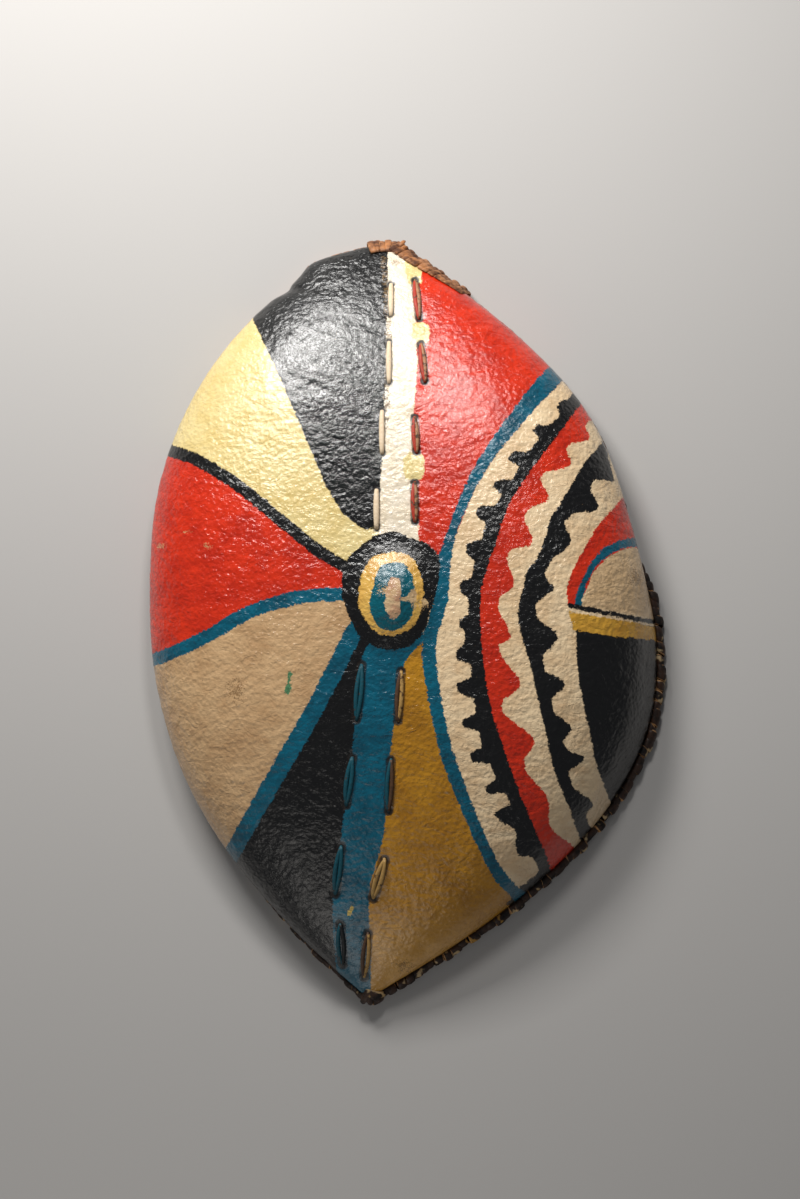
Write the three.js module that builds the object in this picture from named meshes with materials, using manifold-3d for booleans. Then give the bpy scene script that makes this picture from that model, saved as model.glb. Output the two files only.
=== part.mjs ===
import * as THREE from 'three';
import { mergeVertices } from 'three/addons/utils/BufferGeometryUtils.js';
import Module from 'manifold-3d';

// A leaf-shaped hide shield that lies face up on its edge binding, in millimetres.
// X runs across the shield, Y along it to the upper tip, and Z out of the painted face.

const wasm = await Module();
wasm.setup();

// Outline of the hide, seen from the front
const tips = { upper: { x: -29, y: 471 }, lower: { x: -22, y: -469 } };
const sides = {
  left: {
    sign: -1,
    reach: 322.6,
    widestY: 88.7,
    upper: { power: 1.874, end: 0.571, tuck: 10 },
    lower: { power: 2.662, end: 1.008, tuck: 10 },
    swells: [{ y: 445, out: 16.6, spread: 16.8 }, { y: 404.6, out: -6.7, spread: 8 }],
  },
  right: {
    sign: 1,
    reach: 310.4,
    widestY: -62,
    upper: { power: 2.977, end: 1.097, tuck: 6 },
    lower: { power: 1.996, end: 1.038, tuck: -6 },
    swells: [{ y: 151, out: -11.1, spread: 90 }],
  },
};
const swellFade = 40;

// The foot of the wall is tucked in under the dome, or flares out where the tuck is negative
const tuckHeight = 34;
const tuckTurn = { y: 25, length: 140 };
const tuckFade = 6;

// Dome of the hide
const hideThickness = 6;
const domeRise = 120;
const ridgeBow = 24;
const lengthwise = { power: 2.2, end: 1 / 1.2 };
const crosswise = { power: 2.8, end: 1 / 2.1 };
const boss = { x: -1.5, y: 17.3, halfWidth: 62, halfLength: 80, rise: 17 };
const tipWall = 1.25;

// Rawhide strip wound round the edge
const bindingPitch = 18;
const bindingWall = 4.6;
const bindingBelow = 8.7;
const bindingGrip = 6;
const bindingValley = 0.86;
const bindingBulge = 1.5;
const bindingNarrow = 0.62;
const slotClearance = 0.9;
const edgeClearance = 0.3;
const bindingEndGap = 0.5;
const knot = { fromTip: 15, halfLength: 14, radius: 8, divisions: 1 };

// Lashings: where each pair of stitches sits, its length and the distance between its two stitches
const lashings = [
  { x: -11, y: 393, length: 45, apart: 32 },
  { x: -2, y: 309, length: 50, apart: 42 },
  { x: -4.5, y: 219, length: 48, apart: 41 },
  { x: -3, y: 130, length: 47, apart: 45 },
  { x: -12.5, y: -99, length: 61, apart: 49 },
  { x: -21, y: -206, length: 57, apart: 49 },
  { x: -33, y: -316, length: 52, apart: 49 },
  { x: -39, y: -409, length: 50, apart: 30 },
];
const thong = { width: 7, thickness: 3.4, bend: 3 };
const thongClearance = 0.8;
const holeSlack = { across: 0.9, along: 2.6 };

// Grip stave down the middle of the back
const stave = { thickness: 12, width: 31, endWidth: 17, chamfer: 3, overrun: 9 };
const staveClearance = 0.8;
const grip = { level: 84, flat: 30, reach: 80 };

// How finely the curved faces are divided and their tangents measured
const hideRows = 32;
const hideColumns = 20;
const rowCrowding = 0.45;
const columnCrowding = 0.4;
const bowSteps = 4;
const tangentStep = 0.001;
const slopeStep = 1;

// Heights that follow from the sizes above
const bindingTop = bindingBelow + edgeClearance + bindingGrip;
const edgeZ = bindingTop - bindingGrip;
const middleY = (tips.upper.y + tips.lower.y) / 2;
const halfLength = (tips.upper.y - tips.lower.y) / 2;

const smooth = (t) => {
  const c = THREE.MathUtils.clamp(t, 0, 1);
  return c * c * (3 - 2 * c);
};

// How far along y lies from a side's widest place to the tip, from 0 to 1
function towardsTip(side, y) {
  const tip = y > side.widestY ? tips.upper : tips.lower;
  return Math.min(1, (y - side.widestY) / (tip.y - side.widestY));
}

// The widest x of the hide on one side at y
function sideX(side, y) {
  const upper = y > side.widestY;
  const tip = upper ? tips.upper : tips.lower;
  const shape = upper ? side.upper : side.lower;
  const t = towardsTip(side, y);
  const spread = Math.pow(Math.max(0, 1 - Math.pow(t, shape.power)), shape.end);
  let x = tip.x + (side.sign * side.reach - tip.x) * spread;
  for (const swell of side.swells) {
    const fade = 1 - Math.pow(t, swellFade);
    x += side.sign * swell.out * Math.exp(-(((y - swell.y) / swell.spread) ** 2)) * fade;
  }
  return x;
}

// How far the wall is tucked in under the dome at its foot
function tuckAt(side, y) {
  const upperShare = smooth((y - tuckTurn.y) / tuckTurn.length + 0.5);
  const tuck = side.lower.tuck + (side.upper.tuck - side.lower.tuck) * upperShare;
  return tuck * (1 - Math.pow(towardsTip(side, y), tuckFade));
}

// The crest line of the dome, bowed from tip to tip
function ridgeX(y) {
  const t = (y - middleY) / halfLength;
  const straight = tips.lower.x + (tips.upper.x - tips.lower.x) * (t + 1) / 2;
  return straight + ridgeBow * (1 - t * t);
}

// Height of the dome without its boss, for a share from the crest (0) to the side (1)
function domeZ(y, share) {
  const t = Math.min(1, Math.abs(y - middleY) / halfLength);
  const along = Math.pow(1 - Math.pow(t, lengthwise.power), lengthwise.end);
  const across = Math.pow(1 - Math.pow(Math.min(1, share), crosswise.power), crosswise.end);
  return bindingTop + domeRise * along * across;
}

function bossZ(x, y) {
  const r = Math.hypot((x - boss.x) / boss.halfWidth, (y - boss.y) / boss.halfLength);
  return boss.rise * smooth(1 - r);
}

// A point of the painted face: u runs from the left side (-1) to the right (1), v from tip to tip
function facePoint(u, v) {
  const y = middleY + halfLength * v;
  const side = u < 0 ? sides.left : sides.right;
  const share = Math.sin(Math.abs(u) * Math.PI / 2);
  const x = ridgeX(y) + (sideX(side, y) - ridgeX(y)) * share;
  const z = domeZ(y, share);
  const tuck = tuckAt(side, y) * (1 - smooth((z - bindingTop) / tuckHeight)) * Math.pow(share, tuckFade);
  return new THREE.Vector3(x - side.sign * tuck, y, z + bossZ(x, y));
}

// The point of the back behind a point of the face, one hide thickness in along the normal
function backPoint(u, v) {
  const point = facePoint(u, v);
  if (Math.abs(v) === 1) {
    return point.setY(point.y - Math.sign(v) * hideThickness * tipWall);
  }
  const across = facePoint(Math.min(1, u + tangentStep), v).sub(facePoint(Math.max(-1, u - tangentStep), v));
  const along = facePoint(u, v + tangentStep).sub(facePoint(u, v - tangentStep));
  return point.addScaledVector(across.cross(along).normalize(), -hideThickness);
}

// Places from -1 to 1 that crowd together at the middle and at both ends
function spreadPlaces(count, crowding) {
  const places = [];
  for (let i = 0; i <= count; i++) {
    const t = -1 + 2 * i / count;
    places.push(t - crowding * Math.sin(2 * Math.PI * t) / (2 * Math.PI));
  }
  places[0] = -1;
  places[count] = 1;
  return places;
}

// A closed mesh from points and faces, with equal points joined and collapsed faces left out
function closedGeometry(points, faces) {
  const raw = new THREE.BufferGeometry().setFromPoints(points);
  raw.setIndex(faces.flat());
  const merged = mergeVertices(raw, 1e-3);
  const index = merged.getIndex().array;
  const kept = [];
  for (let i = 0; i < index.length; i += 3) {
    const [a, b, c] = index.slice(i, i + 3);
    if (a !== b && b !== c && c !== a) {
      kept.push(a, b, c);
    }
  }
  merged.setIndex(kept);
  merged.computeVertexNormals();
  return merged;
}

// Joins closed rings of points into a tube, with flat ends unless the last ring meets the first
function tubeGeometry(rings, section, looped) {
  const size = section.length;
  const faces = [];
  const steps = looped ? rings.length : rings.length - 1;
  for (let i = 0; i < steps; i++) {
    const next = (i + 1) % rings.length;
    for (let k = 0; k < size; k++) {
      const l = (k + 1) % size;
      faces.push([i * size + k, i * size + l, next * size + l]);
      faces.push([i * size + k, next * size + l, next * size + k]);
    }
  }
  if (!looped) {
    const last = (rings.length - 1) * size;
    const turning = Math.sign(THREE.ShapeUtils.area(section));
    for (const cap of THREE.ShapeUtils.triangulateShape(section, [])) {
      const same = Math.sign(THREE.ShapeUtils.area(cap.map((k) => section[k]))) === turning;
      const [a, b, c] = same ? cap : cap.toReversed();
      faces.push([a, c, b]);
      faces.push([last + a, last + b, last + c]);
    }
  }
  return closedGeometry(rings.flat(), faces);
}

function toManifold(geometry) {
  const plain = geometry.clone();
  plain.deleteAttribute('normal');
  plain.deleteAttribute('uv');
  const merged = mergeVertices(plain, 1e-3);
  const vertProperties = Float32Array.from(merged.getAttribute('position').array);
  const triVerts = Uint32Array.from(merged.getIndex().array);
  return new wasm.Manifold(new wasm.Mesh({ numProp: 3, vertProperties, triVerts }));
}

function fromManifold(manifold) {
  const { vertProperties, triVerts } = manifold.getMesh();
  const geometry = new THREE.BufferGeometry();
  geometry.setAttribute('position', new THREE.BufferAttribute(Float32Array.from(vertProperties), 3));
  geometry.setIndex(Array.from(triVerts));
  geometry.computeVertexNormals();
  return geometry;
}

// The hide as one shell: face and back grids, an upright band at the foot and the cut edge
function hideShell() {
  const rows = spreadPlaces(hideRows, rowCrowding);
  const columns = spreadPlaces(hideColumns, columnCrowding);
  const points = [];
  const faces = [];
  const quad = (a, b, c, d) => faces.push([a, b, c], [a, c, d]);
  for (const pointAt of [facePoint, backPoint]) {
    for (const v of rows) {
      const row = columns.map((u) => pointAt(u, v));
      const foot = (p) => new THREE.Vector3(p.x, p.y, edgeZ);
      points.push(foot(row[0]), ...row, foot(row[hideColumns]));
    }
  }
  const width = hideColumns + 3;
  const backStart = rows.length * width;
  for (let j = 0; j < hideRows; j++) {
    for (let i = 0; i < width - 1; i++) {
      const a = j * width + i;
      quad(a, a + 1, a + 1 + width, a + width);
      const b = backStart + a;
      quad(b, b + width, b + 1 + width, b + 1);
    }
    const left = j * width;
    const right = left + width - 1;
    quad(left, left + width, backStart + left + width, backStart + left);
    quad(right, backStart + right, backStart + right + width, right + width);
  }
  return closedGeometry(points, faces);
}

// Height of the dome over a place in the plan, on its upper part
function heightAt(x, y) {
  const side = x < ridgeX(y) ? sides.left : sides.right;
  return domeZ(y, (x - ridgeX(y)) / (sideX(side, y) - ridgeX(y)));
}

// The dome's upward normal, without its slope across the shield where that is left out
function domeNormal(x, y, withCross) {
  const run = 2 * slopeStep;
  const along = (heightAt(x, y + slopeStep) - heightAt(x, y - slopeStep)) / run;
  const across = withCross ? (heightAt(x + slopeStep, y) - heightAt(x - slopeStep, y)) / run : 0;
  return new THREE.Vector3(-across, -along, 1).normalize();
}

// A point at a height over the face, square to it
function over(x, y, lift) {
  return new THREE.Vector3(x, y, heightAt(x, y)).addScaledVector(domeNormal(x, y, true), lift);
}

// A point at a depth under the face, square to its slope along the shield
function under(x, y, depth) {
  return new THREE.Vector3(x, y, heightAt(x, y)).addScaledVector(domeNormal(x, y, false), -depth);
}

// The lower of the dome's heights at both edges of the stave, as a drop from its middle
function staveDrop(x, y, halfWidth) {
  return heightAt(x, y) - Math.min(heightAt(x - halfWidth, y), heightAt(x + halfWidth, y));
}

// A point of one lashing's loop, at an end (1, -1) or the middle (0) of a stitch, left or right
function lashingCorner(lashing, end, sign, front) {
  const y = lashing.y + end * lashing.length / 2;
  const x = lashing.x + sign * lashing.apart / 2;
  const lift = thongClearance + thong.thickness / 2;
  if (front) {
    return over(x, y, lift);
  }
  const forward = staveForward(y);
  const middle = staveStation(y).point.addScaledVector(staveUp(forward), -stave.thickness / 2 - lift);
  return new THREE.Vector3(x, middle.y, middle.z);
}

// A thong that shows as two stitches on the face and crosses the stave twice behind it
function lashingThong(lashing) {
  const loop = [
    [1, -1, true], [1, -1, false], [1, 1, false], [1, 1, true], [0, 1, true],
    [-1, 1, true], [-1, 1, false], [-1, -1, false], [-1, -1, true], [0, -1, true],
  ];
  const corners = loop.map(([end, sign, front]) => lashingCorner(lashing, end, sign, front));
  const across = new THREE.Vector3(1, 0, 0);
  const stations = [];
  corners.forEach((corner, i) => {
    const [end, , front] = loop[i];
    const lying = across.clone().projectOnPlane(domeNormal(corner.x, corner.y, true)).normalize();
    if (end === 0) {
      stations.push({ point: corner, flat: lying });
      return;
    }
    const before = corners[(i + corners.length - 1) % corners.length];
    const after = corners[(i + 1) % corners.length];
    const along = staveForward(corner.y);
    const turning = across.clone().add(along).normalize();
    for (const other of [before, after]) {
      const toOther = other.clone().sub(corner).normalize();
      const crossing = !front && Math.abs(toOther.x) > 0.9;
      const flat = front ? lying : crossing ? along : turning;
      stations.push({ point: corner.clone().addScaledVector(toOther, thong.bend), flat });
    }
  });
  const { width, thickness } = thong;
  const section = [];
  for (const [a, b] of [[2, 0], [1, 1], [-1, 1], [-2, 0], [-1, -1], [1, -1]]) {
    section.push(new THREE.Vector2(a * width / 4, b * thickness / 2));
  }
  const rings = stations.map(({ point, flat }, i) => {
    const before = stations[(i + stations.length - 1) % stations.length].point;
    const after = stations[(i + 1) % stations.length].point;
    const forward = after.clone().sub(before).normalize();
    const thick = forward.clone().cross(flat).normalize();
    const wide = thick.clone().cross(forward);
    return section.map((p) => point.clone().addScaledVector(wide, p.x).addScaledVector(thick, p.y));
  });
  return tubeGeometry(rings, section, true);
}

// The slots cut through the hide for a lashing's four legs
function lashingHoles(lashing) {
  const { width, thickness } = thong;
  const size = [width + 2 * holeSlack.across, thickness + 2 * holeSlack.along, 4 * hideThickness];
  const cuts = [];
  for (const end of [-1, 1]) {
    for (const sign of [-1, 1]) {
      const front = lashingCorner(lashing, end, sign, true);
      const leg = front.clone().sub(lashingCorner(lashing, end, sign, false)).normalize();
      const middle = front.addScaledVector(leg, -hideThickness);
      const turn = new THREE.Quaternion().setFromUnitVectors(new THREE.Vector3(0, 0, 1), leg);
      cuts.push(toManifold(new THREE.BoxGeometry(...size).applyQuaternion(turn).translate(...middle)));
    }
  }
  return cuts;
}

function hideGeometry() {
  let shell = toManifold(hideShell());
  for (const lashing of lashings) {
    for (const cut of lashingHoles(lashing)) {
      shell = shell.subtract(cut);
    }
  }
  return fromManifold(shell);
}

// The middle of the hide's cut edge along one side, from the lower tip to the upper
function edgePath(side) {
  const u = side.sign;
  const path = spreadPlaces(hideRows, rowCrowding).map((v) => {
    const middle = facePoint(u, v).add(backPoint(u, v)).multiplyScalar(0.5);
    return new THREE.Vector2(middle.x, middle.y);
  });
  for (const end of [path[0], path[path.length - 1]]) {
    end.x += side.sign * bindingEndGap / 2;
  }
  return path;
}

// Points at equal steps along a path of straight stretches
function evenPoints(path, count) {
  const lengths = [0];
  for (let i = 1; i < path.length; i++) {
    lengths.push(lengths[i - 1] + path[i].distanceTo(path[i - 1]));
  }
  const total = lengths[lengths.length - 1];
  const points = [];
  let i = 1;
  for (let k = 0; k <= count; k++) {
    const wanted = total * k / count;
    while (i < path.length - 1 && lengths[i] < wanted) {
      i++;
    }
    const share = (wanted - lengths[i - 1]) / (lengths[i] - lengths[i - 1]);
    points.push(path[i - 1].clone().lerp(path[i], share));
  }
  return points;
}

function pathLength(path) {
  return path.slice(1).reduce((sum, p, i) => sum + p.distanceTo(path[i]), 0);
}

// The wound strip's section round the slot that holds the hide's edge, as out and up from the slot
function bindingSection(scale) {
  const slot = hideThickness / 2 + slotClearance;
  const wall = slot + bindingWall * scale;
  const below = bindingBelow * scale;
  const half = [[slot, 0], [slot, bindingGrip * scale], [wall, bindingBulge], [wall * bindingNarrow, -below]];
  const mirrored = half.map(([out, up]) => [-out, up]).reverse();
  return [...half, ...mirrored].map(([out, up]) => new THREE.Vector2(out, up));
}

// The wound strip along one side: full sections at each turn of the strip and slimmer ones between
function bindingGeometry(side) {
  const path = edgePath(side);
  const turns = Math.round(pathLength(path) / bindingPitch);
  const points = evenPoints(path, 2 * turns);
  const last = points.length - 1;
  const rings = points.map((point, i) => {
    const atTip = i === 0 || i === last;
    const forward = points[Math.min(last, i + 1)].clone().sub(points[Math.max(0, i - 1)]).normalize();
    const out = new THREE.Vector2(forward.y, -forward.x).multiplyScalar(side.sign);
    if (atTip) {
      out.set(0, i === 0 ? -tipWall : tipWall);
    }
    const section = bindingSection(i % 2 === 1 ? 1 : bindingValley);
    const ring = section.map((p) => new THREE.Vector3(
      point.x + out.x * p.x,
      point.y + out.y * p.x,
      bindingBelow + p.y,
    ));
    return side.sign < 0 ? ring.reverse() : ring;
  });
  const section = bindingSection(1);
  return tubeGeometry(rings, side.sign < 0 ? section.reverse() : section, false);
}

// The tied end of the strip, a lump on the outside of the left binding close to the lower tip
function knotGeometry() {
  const path = edgePath(sides.left);
  const [, place, beyond] = evenPoints(path, Math.round(pathLength(path) / knot.fromTip));
  const forward = beyond.clone().sub(place).normalize();
  const out = new THREE.Vector2(-forward.y, forward.x);
  const away = hideThickness / 2 + slotClearance + knot.radius;
  const lump = new THREE.IcosahedronGeometry(1, knot.divisions);
  lump.scale(knot.halfLength, knot.radius, knot.radius);
  lump.rotateZ(Math.atan2(forward.y, forward.x));
  lump.translate(place.x + out.x * away, place.y + out.y * away, knot.radius);
  return lump;
}

function leftBindingGeometry() {
  return fromManifold(toManifold(bindingGeometry(sides.left)).add(toManifold(knotGeometry())));
}

// Evenly spaced numbers from one to another, with both ends
function steps(from, to, count) {
  return Array.from({ length: count + 1 }, (_, i) => from + (to - from) * i / count);
}

// The x of the stave's middle line at y, straight from lashing to lashing
function staveX(y) {
  const next = lashings.findIndex((lashing) => lashing.y <= y);
  if (next < 1) {
    return lashings[next < 0 ? lashings.length - 1 : 0].x;
  }
  const [from, to] = [lashings[next], lashings[next - 1]];
  return from.x + (to.x - from.x) * (y - from.y) / (to.y - from.y);
}

// Where the stave ends, past its outermost lashings
function staveEnds() {
  const first = lashings[0];
  const last = lashings[lashings.length - 1];
  return {
    upper: first.y + first.length / 2 + stave.overrun,
    lower: last.y - last.length / 2 - stave.overrun,
  };
}

// The stave's middle and half width at y: close under the dome, and bowed away from it at the grip
function staveStation(y) {
  const x = staveX(y);
  const pastFlat = Math.max(0, Math.abs(y - boss.y) - grip.flat / 2) / (grip.reach - grip.flat / 2);
  const bow = Math.pow(1 - Math.min(1, pastFlat) ** 2, 2);
  const end = y > boss.y ? staveEnds().upper : staveEnds().lower;
  const taper = ((y - boss.y) / (end - boss.y)) ** 2;
  const halfWidth = (stave.width + (stave.endWidth - stave.width) * taper) / 2;
  const depth = hideThickness + staveClearance + stave.thickness / 2;
  const point = under(x, y, depth + staveDrop(x, y, halfWidth));
  point.lerp(new THREE.Vector3(x, y, grip.level), bow);
  return { point, halfWidth, level: bow === 1 };
}

// The stave's own direction along the shield at y
function staveForward(y) {
  const before = staveStation(y - slopeStep).point;
  return staveStation(y + slopeStep).point.sub(before).setX(0).normalize();
}

// Square to the stave, towards the face
function staveUp(forward) {
  return new THREE.Vector3(0, -forward.z, forward.y);
}

// A board's section with its four long edges taken off
function staveSection(halfWidth) {
  const half = stave.thickness / 2;
  const shoulder = half - stave.chamfer;
  const flat = halfWidth - stave.chamfer;
  const upper = [[-halfWidth, shoulder], [-flat, half], [flat, half], [halfWidth, shoulder]];
  const lower = upper.map(([x, z]) => [-x, -z]);
  return [...upper, ...lower].map(([x, z]) => new THREE.Vector2(x, z));
}

// Where the stave has its sections: at both ends, at every thong's crossings and along the grip's bow
function stavePlaces() {
  const ends = staveEnds();
  const places = [ends.lower, ends.upper];
  for (const end of [-1, 1]) {
    places.push(...lashings.map((lashing) => lashing.y + end * lashing.length / 2));
    places.push(...steps(boss.y + end * grip.flat / 2, boss.y + end * grip.reach, bowSteps));
  }
  return places.sort((a, b) => a - b);
}

// The grip stave: a bent board under the dome that bows away from it behind the boss
function staveGeometry() {
  const stations = stavePlaces().map(staveStation);
  const last = stations.length - 1;
  const rings = stations.map(({ point, halfWidth, level }, i) => {
    const before = stations[Math.max(0, i - 1)].point;
    const after = stations[Math.min(last, i + 1)].point;
    const forward = after.clone().sub(before).setX(0).normalize();
    const up = level ? new THREE.Vector3(0, 0, 1) : staveUp(forward);
    const across = new THREE.Vector3(1, 0, 0);
    return staveSection(halfWidth).map((p) => (
      point.clone().addScaledVector(across, p.x).addScaledVector(up, p.y)
    ));
  });
  return tubeGeometry(rings, staveSection(stave.width / 2), false);
}

function finish(color, roughness) {
  return new THREE.MeshStandardMaterial({ color, roughness, metalness: 0 });
}

const paintedHide = finish('#b8342c', 0.45);
const rawhide = finish('#5f4230', 0.7);
const thongLeather = finish('#8a5a40', 0.6);
const wood = finish('#7b5434', 0.6);

const shield = new THREE.Group();

function addPiece(name, geometry, material) {
  const piece = new THREE.Mesh(geometry, material);
  piece.name = name;
  shield.add(piece);
}

addPiece('hide', hideGeometry(), paintedHide);
addPiece('rim_binding_left', leftBindingGeometry(), rawhide);
addPiece('rim_binding_right', bindingGeometry(sides.right), rawhide);
lashings.forEach((lashing, i) => {
  addPiece(`lashing_thong_${i + 1}`, lashingThong(lashing), thongLeather);
});
addPiece('grip_stave', staveGeometry(), wood);

// The origin is the middle of the shield's outer sizes, on the ground
const bounds = new THREE.Box3().setFromObject(shield, true);
const centre = bounds.getCenter(new THREE.Vector3());
shield.position.set(-centre.x, -centre.y, -bounds.min.z);
shield.updateMatrixWorld(true);

export default shield;
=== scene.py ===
import math
import random

import bmesh
import bpy
import numpy as np
from mathutils import Matrix, Vector, noise


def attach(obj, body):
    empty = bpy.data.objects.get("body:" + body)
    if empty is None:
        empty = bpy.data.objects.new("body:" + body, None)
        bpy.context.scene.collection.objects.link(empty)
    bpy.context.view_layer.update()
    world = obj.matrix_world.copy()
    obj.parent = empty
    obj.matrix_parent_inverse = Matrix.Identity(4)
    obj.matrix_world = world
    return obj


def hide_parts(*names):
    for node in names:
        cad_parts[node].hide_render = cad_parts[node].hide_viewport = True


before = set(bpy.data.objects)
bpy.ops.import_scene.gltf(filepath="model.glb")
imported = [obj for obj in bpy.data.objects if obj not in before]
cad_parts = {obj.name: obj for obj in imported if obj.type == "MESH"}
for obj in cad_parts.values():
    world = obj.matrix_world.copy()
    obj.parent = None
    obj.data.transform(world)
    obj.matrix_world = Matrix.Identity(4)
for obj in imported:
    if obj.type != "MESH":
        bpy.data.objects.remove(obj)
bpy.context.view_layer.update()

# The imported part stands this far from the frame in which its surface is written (m)
SHIFT = np.array([-0.0018772, -0.0008367, 0.0])

# Camera: angles off straight down, turn of the picture, distance, and focal length in photo pixels
CAMERA_SIDE = math.radians(6.0)
CAMERA_LOW = math.radians(4.0)
CAMERA_ROLL = math.radians(2.5)
CAMERA_DISTANCE = 3.5
CAMERA_TARGET = np.array([0.0, 0.021, 0.060])
FOCAL_PIXELS = 2852.5
PHOTO_CENTRE = (400.0, 599.5)
PHOTO_HEIGHT = 1199
SENSOR = 36.0

# How a photo pixel is set down on the dome: the first height, the share of each correction, the number of
# corrections, and the least distance from the tips
PLAN_HEIGHT = 0.10
PLAN_EASE = 0.4
PLAN_ROUNDS = 40
PLAN_MARGIN = 0.004

# Outline of the hide. Each side has its reach, the y of its widest place, and for its upper and lower half
# the two powers of the curve and how far the edge tucks in. A swell has its y, how far out, and its length.
TIP_X = {"upper": -0.029, "lower": -0.022}
TIP_Y = {"upper": 0.471, "lower": -0.469}
LEFT = {
    "sign": -1,
    "reach": 0.3226,
    "widest": 0.0887,
    "upper": (1.874, 0.571, 0.010),
    "lower": (2.662, 1.008, 0.010),
    "swells": [(0.445, 0.0166, 0.0168), (0.4046, -0.0067, 0.008)],
}
RIGHT = {
    "sign": 1,
    "reach": 0.3104,
    "widest": -0.062,
    "upper": (2.977, 1.097, 0.006),
    "lower": (1.996, 1.038, -0.006),
    "swells": [(0.151, -0.0111, 0.090)],
}
SWELL_FADE = 40
TUCK_HEIGHT = 0.034
TUCK_TURN_Y = 0.025
TUCK_TURN_LENGTH = 0.140
TUCK_FADE = 6

# Dome of the hide
THICKNESS = 0.006
DOME_RISE = 0.120
RIDGE_BOW = 0.024
LENGTHWISE = (2.2, 1 / 1.2)
CROSSWISE = (2.8, 1 / 2.1)
BOSS_CENTRE = (-0.0015, 0.0173)
BOSS_HALF = (0.062, 0.080)
BOSS_RISE = 0.017
FOOT_Z = 0.009
FACE_FOOT_Z = 0.015
MIDDLE_Y = 0.001
HALF_LENGTH = 0.470
TIP_WALL = 1.25
TANGENT_STEP = 0.001

# Mesh of the hide, which thins towards the tips where it is narrower than this
FACE_COLUMNS = 200
BACK_COLUMNS = 36
ROWS = 320
THIN_HALF_WIDTH = 0.014
THINNEST = 0.15
FACE = 0
BACK = 1

# Relief of the dried hide, its creased part on the upper left, and the dimples round the lacing holes
SWELL_HEIGHT = 0.0010
FOLD_HEIGHT = 0.00028
PEBBLE_HEIGHT = 0.00045
CREASE_HEIGHT = 0.0007
CREASED_PLACE = (-0.11, 0.26)
CREASED_HALF = (0.09, 0.10)
DIMPLE_DEPTH = 0.0022
DIMPLE_RADIUS = 0.0065
EDGE_FADE = 0.02

# Grip stave
STAVE_THICKNESS = 0.012
STAVE_WIDTH = 0.031
STAVE_END_WIDTH = 0.017
STAVE_OVERRUN = 0.009
STAVE_CLEARANCE = 0.0008
GRIP_LEVEL = 0.084
GRIP_FLAT = 0.030
GRIP_REACH = 0.080
STAVE_STEPS = 110
STAVE_SIDES = 20

# Lashings from the upper tip down: x, y, length of the stitches, distance between them
LASHINGS = [
    (-0.011, 0.393, 0.045, 0.032),
    (-0.002, 0.309, 0.050, 0.042),
    (-0.0045, 0.219, 0.048, 0.041),
    (-0.003, 0.130, 0.047, 0.045),
    (-0.0125, -0.099, 0.061, 0.049),
    (-0.021, -0.206, 0.057, 0.049),
    (-0.033, -0.316, 0.052, 0.049),
    (-0.039, -0.409, 0.050, 0.030),
]
THONG_THICKNESS = 0.0038
THONG_LIFT = 0.0022
THONG_BACK_WIDTH = 0.0072
THONG_CLEARANCE = 0.0008
THONG_BACK_DEPTH = 0.0017
THONG_SINK = 0.0030
STRAND_STEPS = 16
STRAND_SIDES = 12
CROSSING_POINTS = 9

# The stitches as they lie on the face: upper end and lower end of the left one and of the right one
STITCHES = [
    (((-0.0291, 0.4131), (-0.0254, 0.3723)), ((0.0002, 0.4194), (0.0097, 0.3680))),
    (((-0.0247, 0.3352), (-0.0208, 0.2834)), ((0.0148, 0.3337), (0.0232, 0.2860))),
    (((-0.0267, 0.2463), (-0.0233, 0.1937)), ((0.0135, 0.2393), (0.0186, 0.1962))),
    (((-0.0272, 0.1477), (-0.0247, 0.1012)), ((0.0183, 0.1585), (0.0215, 0.1113))),
    (((-0.0351, -0.0646), (-0.0389, -0.1301)), ((0.0127, -0.0700), (0.0112, -0.1299))),
    (((-0.0429, -0.1764), (-0.0489, -0.2330)), ((0.0042, -0.1768), (0.0026, -0.2380))),
    (((-0.0542, -0.2838), (-0.0612, -0.3412)), ((-0.0010, -0.2971), (-0.0147, -0.3439))),
    (((-0.0551, -0.3789), (-0.0529, -0.4273)), ((-0.0209, -0.3883), (-0.0266, -0.4422))),
]

# A stitch: the paint on its near and its far strand, how far they bow apart, and a strand's width
WHITE_STITCH = ("white", None, 0.0, 0.0068)
WIDE_WHITE_STITCH = ("white", None, 0.0, 0.0072)
RED_STITCH = ("red", "tan", 0.0022, 0.0052)
BLUE_STITCH = ("blue", "blue", 0.0030, 0.0054)

# Each lashing's left and right stitch
STITCH_KINDS = [
    (WHITE_STITCH, RED_STITCH),
    (WHITE_STITCH, RED_STITCH),
    (WHITE_STITCH, RED_STITCH),
    (WIDE_WHITE_STITCH, RED_STITCH),
    (BLUE_STITCH, ("brown", "ochre", 0.0028, 0.0050)),
    (BLUE_STITCH, ("blue", "brown", 0.0028, 0.0050)),
    (BLUE_STITCH, ("ochre", "ochre", 0.0034, 0.0054)),
    (("blue", "dark", 0.0036, 0.0052), ("brown", "ochre", 0.0034, 0.0048)),
]

# Wound edge strip: distance between its turns, thickness, and how far it stands out of the edge
STRIP_PITCH = 0.0112
STRIP_PITCH_TOP = 0.0072
STRIP_THICKNESS = 0.0036
STRIP_START = 0.004
STRIP_STOP = 0.002
STRIP_REACH = 0.0056
STRIP_REACH_HIGH_LEFT = 0.0022
STRIP_REACH_HIGH_RIGHT = 0.0026
STRIP_REACH_LOW_LEFT = 0.0090
STRIP_REACH_LOW_RIGHT = 0.0124

# Where along the edge the winding changes: the y at which a change starts, and its length
STRIP_TOP = (0.30, 0.12)
STRIP_BARED = (0.09, 0.07)
STRIP_LOW_LEFT = (-0.36, 0.06)
STRIP_HIGH_LEFT = (0.26, 0.08)

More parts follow.
